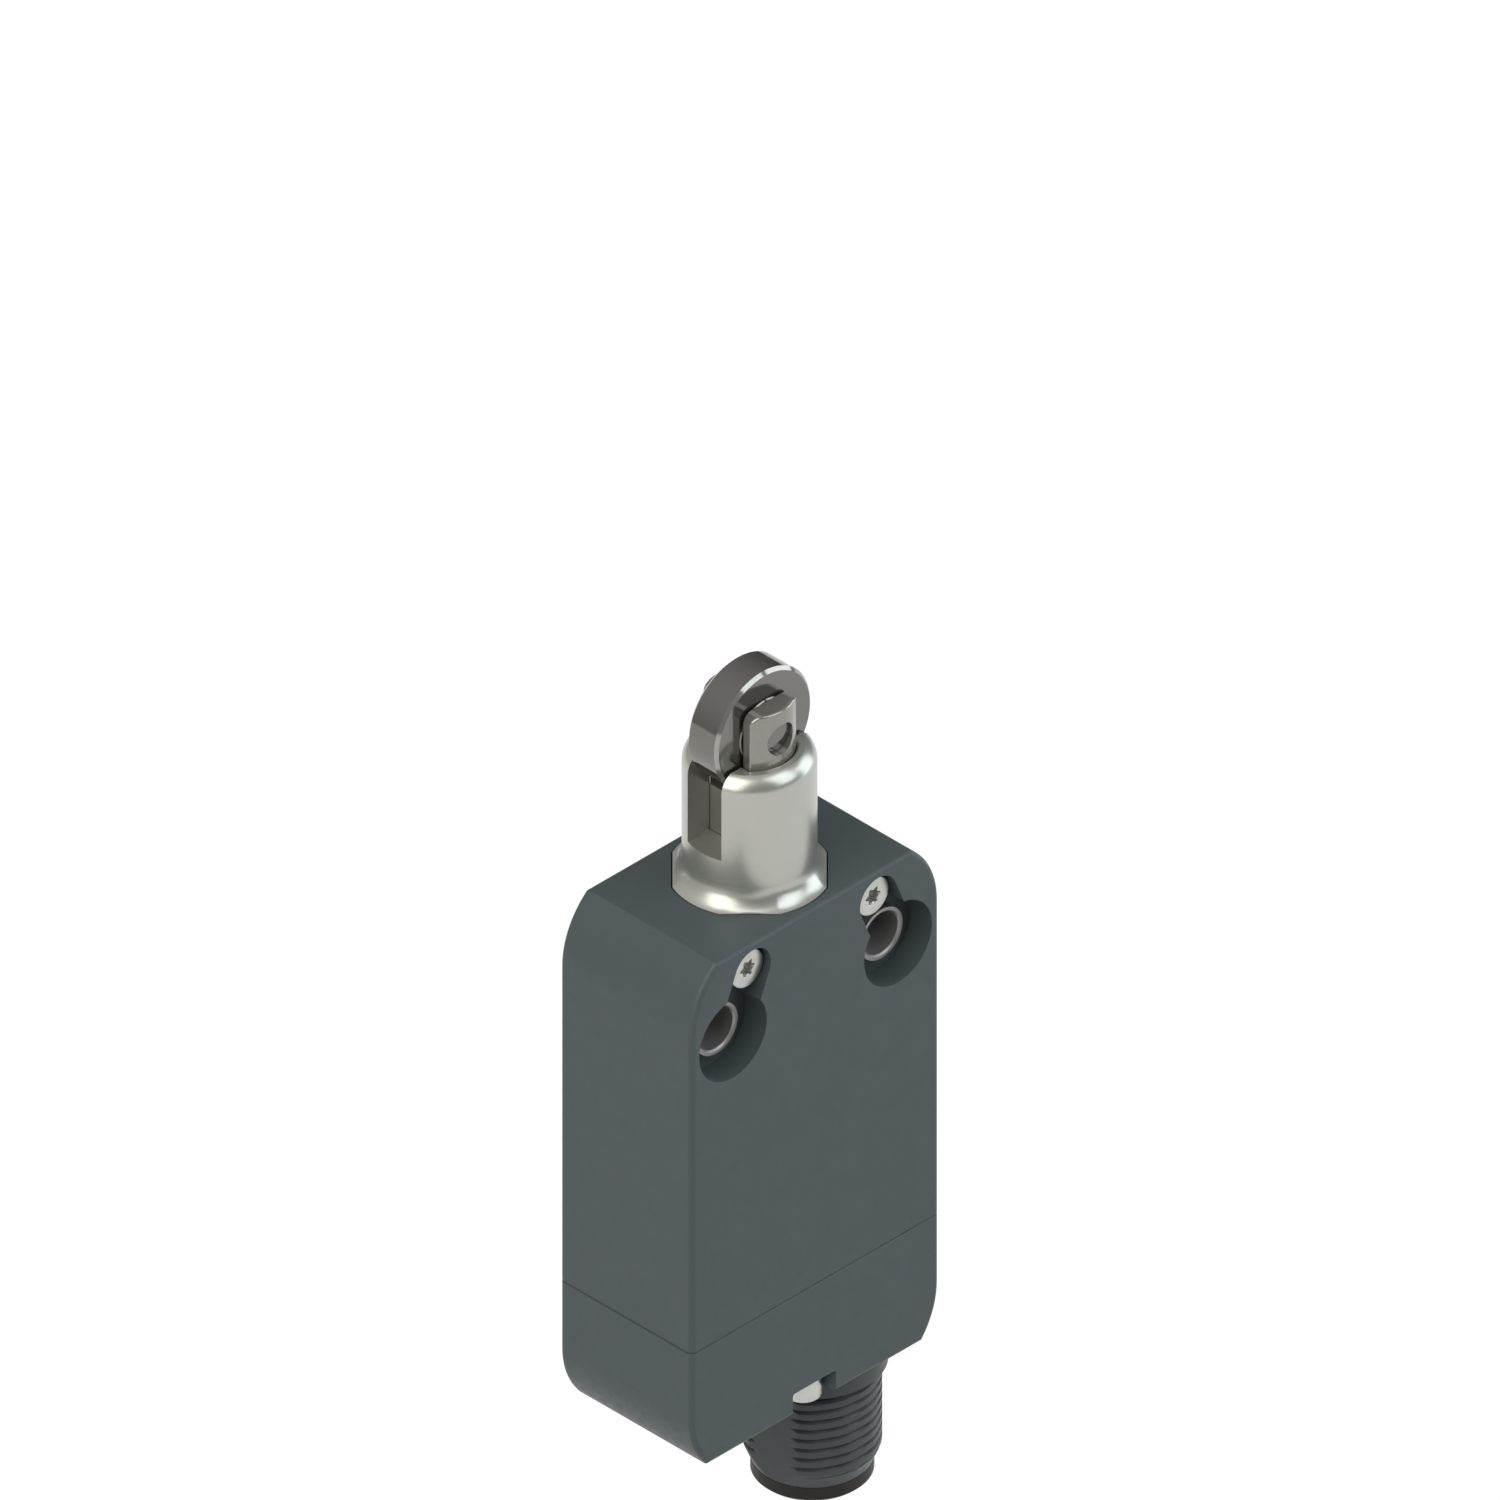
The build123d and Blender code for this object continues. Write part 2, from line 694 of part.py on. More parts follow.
# Return spring of the plunger
with BuildPart() as return_spring:
    spring_radius = (stem_radius + bore_radius) / 2
    add(coil_spring(spring_radius, return_wire, spring_seat_top, land_bottom, return_turns))
return_spring.part.label = "return_spring"
export_step(return_spring.part, "parts/return_spring.step")

# Contact case, open below, with ribs that guide the carrier
half_carrier = carrier_width / 2 + carrier_gap
rib_inner_y = bridge_width / 2 + guide_rib_gap
rib_length = block_depth / 2 - block_wall / 2 - rib_inner_y
with BuildPart() as contact_case:
    with BuildSketch(head_level(block_floor_z)):
        add(block_section.sketch)
    extrude(amount=block_top - block_floor_z)
    with BuildSketch(head_level(block_floor_z)):
        offset(block_section.sketch, amount=-block_wall, kind=Kind.INTERSECTION)
        for side_x in (-1, 1):
            for side_y in (-1, 1):
                rib_x = side_x * (half_carrier + guide_rib / 2)
                rib_y = side_y * (rib_inner_y + rib_length / 2)
                with Locations((rib_x, rib_y)):
                    Rectangle(guide_rib, rib_length, mode=Mode.SUBTRACT)
    extrude(amount=block_roof_z - block_floor_z, mode=Mode.SUBTRACT)
    with BuildSketch(head_level(block_roof_z)):
        Circle(pusher_radius + pusher_gap)
    extrude(amount=block_roof, mode=Mode.SUBTRACT)
    with BuildSketch(head_level(block_top)):
        with GridLocations(block_width - block_post, block_depth - block_post, 2, 2):
            Rectangle(block_post, block_post)
        add(block_section.sketch, mode=Mode.INTERSECT)
    extrude(amount=cavity_top - block_top)
contact_case.part.label = "contact_case"
export_step(contact_case.part, "parts/contact_case.step")

# Base of the contact case, slotted for the legs of the fixed contacts
leg_points = [
    (side * (leg_spacing / 2), lane * lane_offset) for side in (-1, 1) for lane in (-1, 1)
]
with BuildPart() as contact_case_base:
    with BuildSketch(head_level(block_bottom)):
        add(block_section.sketch)
        with Locations(*leg_points):
            Rectangle(strip_thickness, leg_width, mode=Mode.SUBTRACT)
    extrude(amount=block_floor)
    with BuildSketch(head_level(block_floor_z)):
        Circle(spigot_radius)
    extrude(amount=spigot_height)
contact_case_base.part.label = "contact_case_base"
export_step(contact_case_base.part, "parts/contact_case_base.step")

# Contact carrier: pusher above, a window for each bridge, a pocket for its spring
with BuildPart() as contact_carrier:
    with BuildSketch(head_level(carrier_bottom)):
        Rectangle(carrier_width, carrier_depth)
    extrude(amount=carrier_top - carrier_bottom)
    with BuildSketch(head_level(carrier_top)):
        Circle(pusher_radius)
    extrude(amount=plunger_end - clearance - carrier_top)
    chamfer(contact_carrier.faces().sort_by(Axis.Z)[-1].edges(), mouth_chamfer)
    for window_bottom, window_top in (
        (nc_window_bottom, nc_window_top),
        (no_window_bottom, no_window_top),
    ):
        with BuildSketch(head_level(window_bottom)):
            Rectangle(2 * carrier_width, window_depth)
        extrude(amount=window_top - window_bottom, mode=Mode.SUBTRACT)
    with BuildSketch(head_level(carrier_bottom)):
        Circle(carrier_pocket_radius)
    extrude(amount=carrier_pocket_depth, mode=Mode.SUBTRACT)
contact_carrier.part.label = "contact_carrier"
export_step(contact_carrier.part, "parts/contact_carrier.step")

# Spring that lifts the carrier
with BuildPart() as carrier_spring:
    add(
        coil_spring(
            carrier_spring_radius,
            carrier_wire,
            block_floor_z,
            carrier_pocket_top,
            carrier_turns,
        )
    )
carrier_spring.part.label = "carrier_spring"
export_step(carrier_spring.part, "parts/carrier_spring.step")

# Bridges, their tips and their springs. The upper one opens and the lower one closes.
for name, bottom in (("nc_bridge", nc_bridge_bottom), ("no_bridge", no_bridge_bottom)):
    with BuildPart() as bridge:
        with BuildSketch(head_level(bottom)):
            SlotOverall(tip_spacing + 2 * bridge_tail, bridge_width)
        extrude(amount=bridge_thickness)
    bridge.part.label = name
    export_step(bridge.part, f"parts/{name}.step")

for name, bottom in (
    ("nc_moving_tips", nc_bridge_top),
    ("no_moving_tips", no_bridge_bottom - tip_height),
):
    with BuildPart() as moving_tips:
        with BuildSketch(head_level(bottom)):
            with Locations(*tip_points):
                Circle(tip_radius)
        extrude(amount=tip_height)
    moving_tips.part.label = name
    export_step(moving_tips.part, f"parts/{name}.step")

for name, bottom, top in (
    ("nc_contact_spring", nc_window_bottom, nc_bridge_bottom - closed_gap),
    ("no_contact_spring", no_bridge_top + closed_gap, no_window_top),
):
    with BuildPart() as contact_spring:
        add(coil_spring(contact_spring_radius, contact_wire, bottom, top, contact_turns))
    contact_spring.part.label = name
    export_step(contact_spring.part, f"parts/{name}.step")


def fixed_contact(side, lane, tongue_bottom):
    """Stamped strip: a tongue under its tip, a shoulder into its lane, a leg to the board."""
    leg_x = leg_spacing / 2
    tongue_start = tip_spacing / 2 - bridge_tail
    shoulder_end = leg_x + strip_thickness / 2
    shoulder_start = shoulder_end - shoulder_length
    lane_edge = lane * (lane_offset + leg_width / 2)
    inner_edge = -lane * bridge_width / 6
    with BuildPart() as strip:
        with BuildSketch(head_level(tongue_bottom)):
            with Locations((side * (tongue_start + shoulder_end) / 2, 0)):
                Rectangle(shoulder_end - tongue_start, bridge_width)
            with Locations((side * (shoulder_start + shoulder_end) / 2, 0)):
                Rectangle(shoulder_length, 2 * bridge_width, mode=Mode.SUBTRACT)
            with Locations(
                (side * (shoulder_start + shoulder_end) / 2, (lane_edge + inner_edge) / 2)
            ):
                Rectangle(shoulder_length, abs(lane_edge - inner_edge))
        extrude(amount=strip_thickness)
        with BuildSketch(head_level(board_bottom - tail_length)):
            with Locations((side * leg_x, lane * lane_offset)):
                Rectangle(strip_thickness, leg_width)
        extrude(amount=tongue_bottom - board_bottom + tail_length)
    return strip.part


# Fixed contacts, one strip for each end of each bridge
for name, side, lane, tongue_bottom in (
    ("nc_fixed_contact_left", -1, -1, nc_tongue_z),
    ("nc_fixed_contact_right", 1, -1, nc_tongue_z),
    ("no_fixed_contact_left", -1, 1, no_tongue_z),
    ("no_fixed_contact_right", 1, 1, no_tongue_z),
):
    with BuildPart() as fixed:
        add(fixed_contact(side, lane, tongue_bottom))
    fixed.part.label = name
    export_step(fixed.part, f"parts/{name}.step")

# Tips on the fixed contacts
with BuildPart() as fixed_contact_tips:
    for bottom in (nc_tongue_z - tip_height, no_tip_z - tip_height):
        with BuildSketch(head_level(bottom)):
            with Locations(*tip_points):
                Circle(tip_radius)
        extrude(amount=tip_height)
fixed_contact_tips.part.label = "fixed_contact_tips"
export_step(fixed_contact_tips.part, "parts/fixed_contact_tips.step")

# Board that joins the fixed contacts to the connector's pins
with BuildPart() as terminal_board:
    with BuildSketch(head_level(board_bottom)):
        RectangleRounded(board_width, board_depth, board_corner_radius)
        with Locations(*leg_points):
            Rectangle(strip_thickness, leg_width, mode=Mode.SUBTRACT)
        with Locations((connector_x, 0)):
            with PolarLocations(pin_circle_radius, pin_count, start_angle=180 / pin_count):
                Circle(pin_radius, mode=Mode.SUBTRACT)
    extrude(amount=board_thickness)
terminal_board.part.label = "terminal_board"
export_step(terminal_board.part, "parts/terminal_board.step")

# Connector shell: thread, undercut, collar and the neck that takes the nut
connector_axis = Axis((connector_x, mid_y, 0), (0, 0, 1))
ring_centre_radius = (neck_radius + collar_radius) / 2
connector_groove = 2 * connector_ring_section + ring_groove_play
flat_direction = math.radians(thread_flat_angle)
flat_depth = thread_radius - thread_flat
flat_centre = thread_flat + flat_depth
with BuildPart() as connector_shell:
    with BuildSketch(Plane((connector_x, mid_y, 0), x_dir=(1, 0, 0), z_dir=(0, -1, 0))):
        with BuildLine():
            Polyline(
                (shell_bore_radius, nose_bottom),
                (thread_core_radius, nose_bottom),
                (thread_core_radius, thread_bottom - thread_end_length),
                (thread_radius, thread_bottom),
                (thread_radius, thread_top),
                (thread_core_radius, thread_top),
                (thread_core_radius, collar_bottom),
                (collar_radius, collar_bottom),
                (collar_radius, collar_top),
                (ring_centre_radius + connector_groove / 2, collar_top),
                (ring_centre_radius + connector_groove / 2, collar_top - 2 * connector_ring_section),
                (ring_centre_radius - connector_groove / 2, collar_top - 2 * connector_ring_section),
                (ring_centre_radius - connector_groove / 2, collar_top),
                (neck_radius, collar_top),
                (neck_radius, neck_top),
                (insert_stem_radius, neck_top),
                (insert_stem_radius, body_bottom + shell_bore_top),
                (shell_bore_radius, body_bottom + shell_bore_top),
                close=True,
            )
        make_face()
    revolve(axis=connector_axis)
    with BuildSketch(connector_level(nose_bottom)):
        with Locations(
            (flat_centre * math.cos(flat_direction), flat_centre * math.sin(flat_direction))
        ):
            Rectangle(2 * flat_depth, 2 * thread_radius, rotation=thread_flat_angle)
    extrude(amount=collar_bottom - nose_bottom, mode=Mode.SUBTRACT)
connector_shell.part.label = "connector_shell"
export_step(connector_shell.part, "parts/connector_shell.step")

# O-ring between the collar and the base
with BuildPart() as connector_o_ring:
    ring_plane = connector_level(collar_top - connector_ring_section)
    add(rubber_ring(ring_plane, ring_centre_radius, connector_ring_section))
connector_o_ring.part.label = "connector_o_ring"
export_step(connector_o_ring.part, "parts/connector_o_ring.step")

# Slotted ring nut that holds the connector from inside the base
with BuildPart() as connector_nut:
    with BuildSketch(connector_level(floor_z)):
        Circle(nut_radius)
        Circle(neck_radius, mode=Mode.SUBTRACT)
        with PolarLocations(nut_radius, nut_slots):
            Rectangle(2 * nut_slot_depth, nut_slot_width, mode=Mode.SUBTRACT)
    extrude(amount=nut_thickness)
connector_nut.part.label = "connector_nut"
export_step(connector_nut.part, "parts/connector_nut.step")

# Insert that carries the pins: ring at the mouth, keyed socket and stem up to the board
with BuildPart() as contact_insert:
    with BuildSketch(connector_level(insert_bottom)):
        Circle(thread_core_radius)
    extrude(amount=insert_ring_length)
    chamfer(contact_insert.faces().sort_by(Axis.Z)[0].edges(), insert_ring_edge)
    with BuildSketch(connector_level(nose_bottom)):
        Circle(shell_bore_radius)
    extrude(amount=body_bottom + shell_bore_top - nose_bottom)
    with BuildSketch(connector_level(body_bottom + shell_bore_top)):
        Circle(insert_stem_radius)
    extrude(amount=board_bottom - body_bottom - shell_bore_top)
    with BuildSketch(connector_level(insert_bottom)):
        Circle(socket_radius)
        with Locations((0, socket_radius)):
            Rectangle(key_width, 2 * key_height, mode=Mode.SUBTRACT)
    extrude(amount=socket_depth, mode=Mode.SUBTRACT)
    with BuildSketch(connector_level(socket_top)):
        with PolarLocations(pin_circle_radius, pin_count, start_angle=180 / pin_count):
            Circle(pin_radius)
    extrude(amount=board_bottom - socket_top, mode=Mode.SUBTRACT)
contact_insert.part.label = "contact_insert"
export_step(contact_insert.part, "parts/contact_insert.step")

# Connector pins
pin_bottom = insert_bottom + pin_recess
with BuildPart() as connector_pins:
    with BuildSketch(connector_level(pin_bottom)):
        with PolarLocations(pin_circle_radius, pin_count, start_angle=180 / pin_count):
            Circle(pin_radius)
    extrude(amount=board_top + tail_length - pin_bottom)
    chamfer(connector_pins.faces().sort_by(Axis.Z)[:pin_count].edges(), mouth_chamfer)
connector_pins.part.label = "connector_pins"
export_step(connector_pins.part, "parts/connector_pins.step")
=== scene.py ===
import json
import math

import bmesh
import bpy
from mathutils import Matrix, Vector


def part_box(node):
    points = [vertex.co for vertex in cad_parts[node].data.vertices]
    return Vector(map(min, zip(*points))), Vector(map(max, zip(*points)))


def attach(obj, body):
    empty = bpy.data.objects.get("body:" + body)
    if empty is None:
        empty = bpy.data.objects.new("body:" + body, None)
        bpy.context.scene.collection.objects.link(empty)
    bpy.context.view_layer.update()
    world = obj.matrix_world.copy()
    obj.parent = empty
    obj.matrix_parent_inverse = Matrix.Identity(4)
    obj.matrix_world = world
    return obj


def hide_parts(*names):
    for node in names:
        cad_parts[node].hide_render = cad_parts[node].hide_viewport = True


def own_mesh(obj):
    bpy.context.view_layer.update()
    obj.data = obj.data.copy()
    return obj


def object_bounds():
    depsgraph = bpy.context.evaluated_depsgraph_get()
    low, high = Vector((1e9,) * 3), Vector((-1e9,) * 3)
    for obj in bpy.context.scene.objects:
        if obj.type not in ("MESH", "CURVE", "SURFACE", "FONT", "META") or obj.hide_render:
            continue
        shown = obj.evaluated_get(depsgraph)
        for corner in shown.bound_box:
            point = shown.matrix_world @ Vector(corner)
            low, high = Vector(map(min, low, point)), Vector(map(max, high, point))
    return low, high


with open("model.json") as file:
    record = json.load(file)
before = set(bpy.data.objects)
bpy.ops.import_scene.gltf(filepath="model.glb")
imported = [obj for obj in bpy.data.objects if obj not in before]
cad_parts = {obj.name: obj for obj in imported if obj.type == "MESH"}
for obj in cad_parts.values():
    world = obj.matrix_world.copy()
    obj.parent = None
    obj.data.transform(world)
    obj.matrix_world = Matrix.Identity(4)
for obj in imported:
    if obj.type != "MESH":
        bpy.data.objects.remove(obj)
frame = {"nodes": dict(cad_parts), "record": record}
cad_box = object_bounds()
scene = bpy.context.scene
nodes = frame["nodes"]

MM = 0.001

# The photograph's view: a parallel isometric one. Its scale was fitted to the outline of the
# switch, and so was the picture's centre, as so far right of and above the frame's origin.
PHOTO_SIDE = 1500
PIXELS_PER_MM = 11.67
CENTRE_RIGHT_MM = 5.697
CENTRE_UP_MM = 14.11
CAMERA_DISTANCE = 0.4
CAMERA_CLIP_START = 0.01
CAMERA_CLIP_END = 10
LOOK = Vector((1, 1, -1)).normalized()
RIGHT = Vector((1, -1, 0)).normalized()
UP = RIGHT.cross(LOOK)

# Axes of the connector and of the plunger, and the roller's centre, from the frame
shell_low, shell_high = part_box("connector_shell")
roller_low, roller_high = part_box("roller")
CONNECTOR_AXIS = Vector(
    ((shell_low[0] + shell_high[0]) / 2, (shell_low[1] + shell_high[1]) / 2, 0)
)
ROLLER_CENTRE = (Vector(roller_low) + Vector(roller_high)) / 2
HEAD_AXIS = Vector((0, ROLLER_CENTRE.y, 0))


# Materials

# Nearly all of a noise lies between these two values
NOISE_LOW = 0.3
NOISE_HIGH = 0.7
TURNING_LINES_PER_MM = 14.0
TURNING_DETAIL = 4.0


class Surface:
    """A Principled material whose colour, roughness and relief vary with place."""

    def __init__(self, name, colour, roughness, metallic=0.0, specular=0.5):
        self.material = bpy.data.materials.new(name)
        self.material.use_nodes = True
        self.tree = self.material.node_tree
        self.shader = self.tree.nodes["Principled BSDF"]
        self.shader.inputs["Base Color"].default_value = (*colour, 1)
        self.shader.inputs["Roughness"].default_value = roughness
        self.shader.inputs["Metallic"].default_value = metallic
        self.shader.inputs["Specular IOR Level"].default_value = specular
        self.colour = colour
        self.place = self.tree.nodes.new("ShaderNodeTexCoord").outputs["Object"]
        self.relief = None
        self.tint = None

    def link(self, start, end):
        self.tree.links.new(start, end)

    def scaled(self, per_mm, origin=(0, 0, 0)):
        """The place in the object from an origin, counted in steps per millimetre along X,
        Y and Z."""
        mapping = self.tree.nodes.new("ShaderNodeMapping")
        mapping.vector_type = "TEXTURE"
        mapping.inputs["Location"].default_value = origin
        mapping.inputs["Scale"].default_value = [MM / rate for rate in per_mm]
        self.link(self.place, mapping.inputs["Vector"])
        return mapping.outputs["Vector"]

    def noise(self, per_mm, detail=3.0):
        """A noise of the place. per_mm is its fineness, as one number or as three for X, Y
        and Z."""
        rates = (per_mm, per_mm, per_mm) if isinstance(per_mm, float) else per_mm
        noise = self.tree.nodes.new("ShaderNodeTexNoise")
        noise.inputs["Scale"].default_value = 1.0
        noise.inputs["Detail"].default_value = detail
        self.link(self.scaled(rates), noise.inputs["Vector"])
        return noise.outputs["Fac"]

    def turned(self, axis_origin, across):
        """Fine lines left by a lathe: a noise of the distance from an axis and of the way
        along it. across is 1 for the two directions that are square to the axis."""
        centred = self.scaled((1, 1, 1), axis_origin)
        flat = self.tree.nodes.new("ShaderNodeVectorMath")
        flat.operation = "MULTIPLY"
        flat.inputs[1].default_value = across
        self.link(centred, flat.inputs[0])
        radius = self.tree.nodes.new("ShaderNodeVectorMath")
        radius.operation = "LENGTH"
        self.link(flat.outputs["Vector"], radius.inputs[0])
        along = self.tree.nodes.new("ShaderNodeVectorMath")
        along.operation = "DOT_PRODUCT"
        along.inputs[1].default_value = [1.0 - share for share in across]
        self.link(centred, along.inputs[0])
        both = self.tree.nodes.new("ShaderNodeCombineXYZ")
        self.link(radius.outputs["Value"], both.inputs["X"])
        self.link(along.outputs["Value"], both.inputs["Y"])
        noise = self.tree.nodes.new("ShaderNodeTexNoise")
        noise.inputs["Scale"].default_value = TURNING_LINES_PER_MM
        noise.inputs["Detail"].default_value = TURNING_DETAIL
        self.link(both.outputs["Vector"], noise.inputs["Vector"])
        return noise.outputs["Fac"]

    def vary_colour(self, pattern, spread):
        """Makes the colour a little darker and lighter than its own, by the pattern."""
        ramp = self.tree.nodes.new("ShaderNodeValToRGB")
        low, high = ramp.color_ramp.elements
        low.position, high.position = NOISE_LOW, NOISE_HIGH
        low.color = [*[part * (1 - spread) for part in self.colour], 1]
        high.color = [*[part * (1 + spread) for part in self.colour], 1]
        self.link(pattern, ramp.inputs["Fac"])
        self.tint = ramp.outputs["Color"]
        self.link(self.tint, self.shader.inputs["Base Color"])

    def paint_shade_at_level(self, level_mm, half_mm, share):
        """Paints shade into the varied colour: darkens it to a share of itself in a narrow band
        round a level of the row, as the shade of a joint. The band fades out from half to one
        and a half times its half width."""
        split = self.tree.nodes.new("ShaderNodeSeparateXYZ")
        self.link(self.place, split.inputs["Vector"])
        apart = self.tree.nodes.new("ShaderNodeMath")
        apart.operation = "SUBTRACT"
        apart.inputs[1].default_value = level_mm * MM
        self.link(split.outputs["Z"], apart.inputs[0])
        distance = self.tree.nodes.new("ShaderNodeMath")
        distance.operation = "ABSOLUTE"
        self.link(apart.outputs["Value"], distance.inputs[0])
        band = self.tree.nodes.new("ShaderNodeMapRange")
        band.interpolation_type = "SMOOTHSTEP"
        band.inputs["From Min"].default_value = 0.5 * half_mm * MM
        band.inputs["From Max"].default_value = 1.5 * half_mm * MM
        band.inputs["To Min"].default_value = share
        band.inputs["To Max"].default_value = 1.0
        self.link(distance.outputs["Value"], band.inputs["Value"])
        shaded_tint = self.tree.nodes.new("ShaderNodeVectorMath")
        shaded_tint.operation = "SCALE"
        self.link(self.tint, shaded_tint.inputs["Vector"])
        self.link(band.outputs["Result"], shaded_tint.inputs["Scale"])
        self.link(shaded_tint.outputs["Vector"], self.shader.inputs["Base Color"])

    def vary_roughness(self, pattern, low, high):
        band = self.tree.nodes.new("ShaderNodeMapRange")
        band.inputs["From Min"].default_value = NOISE_LOW
        band.inputs["From Max"].default_value = NOISE_HIGH
        band.inputs["To Min"].default_value = low
        band.inputs["To Max"].default_value = high
        self.link(pattern, band.inputs["Value"])
        self.link(band.outputs["Result"], self.shader.inputs["Roughness"])

    def bump(self, pattern, height_mm):
        """Raises the pattern in the shading, on top of any earlier bump."""
        bump = self.tree.nodes.new("ShaderNodeBump")
        bump.inputs["Strength"].default_value = 1.0
        bump.inputs["Distance"].default_value = height_mm * MM
        self.link(pattern, bump.inputs["Height"])
        if self.relief is not None:
            self.link(self.relief, bump.inputs["Normal"])
        self.relief = bump.outputs["Normal"]
        self.link(self.relief, self.shader.inputs["Normal"])


def painted(name, colour, roughness, joint=None):
    """Satin powder paint on a casting: soft mottling, orange peel and fine grain. joint is
    the level of a parting line, along which shade is painted into the colour."""
    paint = Surface(name, colour, roughness, specular=0.3)
    paint.vary_colour(paint.noise(per_mm=0.35), spread=0.025)
    # Painted shade along the parting line, darker than the paint around it
    if joint is not None:
        paint.paint_shade_at_level(joint, half_mm=0.08, share=0.6)
    paint.vary_roughness(paint.noise(per_mm=1.1), low=roughness - 0.04, high=roughness + 0.05)
    paint.bump(paint.noise(per_mm=2.2, detail=2.0), height_mm=0.003)
    paint.bump(paint.noise(per_mm=9.0, detail=2.0), height_mm=0.0015)
    return paint.material


def turned_steel(name, colour, roughness, axis_origin, across, line_height, metallic):
    """Steel from the lathe, with fine lines round its axis. A finish that is less than
    wholly metallic is a satin one, whose fine pits scatter part of the light."""
    steel = Surface(name, colour, roughness, metallic=metallic)
    lines = steel.turned(axis_origin, across)
    steel.vary_colour(steel.noise(per_mm=0.5), spread=0.015)
    steel.vary_roughness(lines, low=roughness - 0.005, high=roughness + 0.005)
    steel.bump(lines, height_mm=line_height)
    return steel.material


def ground_steel(name, colour, roughness, metallic=1.0, grain_height=0.0003):
    """Metal with a fine even grain, such as a pressed or tumbled part."""
    steel = Surface(name, colour, roughness, metallic=metallic)
    steel.vary_colour(steel.noise(per_mm=1.2), spread=0.04)
    steel.vary_roughness(steel.noise(per_mm=4.0), low=roughness - 0.01, high=roughness + 0.01)
    steel.bump(steel.noise(per_mm=16.0), height_mm=grain_height)
    return steel.material


def moulded(name, colour, roughness, specular=0.35):
    """Moulded plastic or rubber with a fine spark-eroded grain."""
    plastic = Surface(name, colour, roughness, specular=specular)
    plastic.vary_colour(plastic.noise(per_mm=0.8), spread=0.08)
    plastic.vary_roughness(plastic.noise(per_mm=2.5), low=roughness - 0.05, high=roughness + 0.05)
    plastic.bump(plastic.noise(per_mm=12.0, detail=2.0), height_mm=0.004)
    return plastic.material


def circuit_board(name, colour, roughness):
    """Green solder mask over a faint glass weave."""
    board = Surface(name, colour, roughness)
    board.vary_colour(board.noise(per_mm=(3.0, 3.0, 0.5)), spread=0.15)
    board.vary_roughness(board.noise(per_mm=(5.0, 5.0, 1.0)), low=0.3, high=0.42)
    board.bump(board.noise(per_mm=(4.0, 0.6, 1.0), detail=1.0), height_mm=0.004)
    board.bump(board.noise(per_mm=(0.6, 4.0, 1.0), detail=1.0), height_mm=0.004)
    return board.material


ROUND_Z = (1, 1, 0)
ROUND_Y = (1, 0, 1)
PARTING_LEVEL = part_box("upper_housing")[0][2] / MM
materials = {
    "housing": painted("housing_paint", (0.058, 0.073, 0.079), 0.46, PARTING_LEVEL),
    "connector_metal": painted("connector_paint", (0.05, 0.057, 0.06), 0.42),
    "head_steel": turned_steel(
        "head_steel_satin",
        (0.45, 0.45, 0.41),
        0.28,
        HEAD_AXIS,
        ROUND_Z,
        line_height=0.00002,
        metallic=0.74,
    ),
    "plunger_steel": ground_steel(
        "plunger_steel_ground", (0.28, 0.265, 0.24), 0.18, metallic=0.7, grain_height=0.000005
    ),
    "roller_steel": turned_steel(
        "roller_steel_turned",
        (0.19, 0.182, 0.168),
        0.11,
        ROLLER_CENTRE,
        ROUND_Y,
        line_height=0.00003,
        metallic=0.92,
    ),
    "bush_steel": ground_steel(
        "bush_steel_drawn", (0.32, 0.31, 0.305), 0.42, metallic=0.6, grain_height=0.0001
    ),
    "screw_steel": ground_steel("screw_steel_plated", (0.52, 0.52, 0.49), 0.34),
    "spring_steel": ground_steel("spring_steel_wire", (0.4, 0.4, 0.39), 0.25),
    "black_rubber": moulded("seal_rubber", (0.012, 0.012, 0.012), 0.6),
    "black_plastic": moulded("insert_plastic", (0.018, 0.016, 0.014), 0.5, specular=0.2),
    "case_plastic": moulded("case_plastic_moulded", (0.5, 0.48, 0.42), 0.45),
    "carrier_plastic": moulded("carrier_plastic_moulded", (0.3, 0.04, 0.03), 0.42),
    "board": circuit_board("board_mask", (0.02, 0.13, 0.06), 0.35),
    "contact_brass": ground_steel("contact_brass_stamped", (0.72, 0.5, 0.22), 0.25),
    "contact_tips": ground_steel("contact_silver", (0.75, 0.74, 0.7), 0.3),
}


def dress(piece, slot):
    """Gives a piece the material of a slot, in place of any it has."""
    piece.data.materials.clear()
    piece.data.materials.append(materials[slot])


for part in frame["record"]["subparts"]:
    dress(nodes[part["node"]], part["material_slot"])


# Shapes

SHARP_ANGLE = math.radians(35)
ROUND_SEGMENTS = 96
LARGE_ROUND_SEGMENTS = 256


def smooth(piece):
    """Smooth shading, with creases kept where faces meet at a sharp angle."""
    piece.data.shade_smooth()
    piece.data.set_sharp_from_angle(angle=SHARP_ANGLE)


def add_piece(name, points, faces, body, slot, replaced=None):
    """A mesh piece, from points in millimetres, that rides on a body and is finished as its
    slot says. It may replace a CAD node."""
    mesh = bpy.data.meshes.new(name)
    mesh.from_pydata([Vector(point) * MM for point in points], [], faces)
    form = bmesh.new()
    form.from_mesh(mesh)
    bmesh.ops.recalc_face_normals(form, faces=form.faces)
    form.to_mesh(mesh)
    form.free()
    piece = bpy.data.objects.new(name, mesh)
    scene.collection.objects.link(piece)
    dress(piece, slot)
    smooth(piece)
    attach(piece, body)
    if replaced:
        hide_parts(replaced)
    return piece


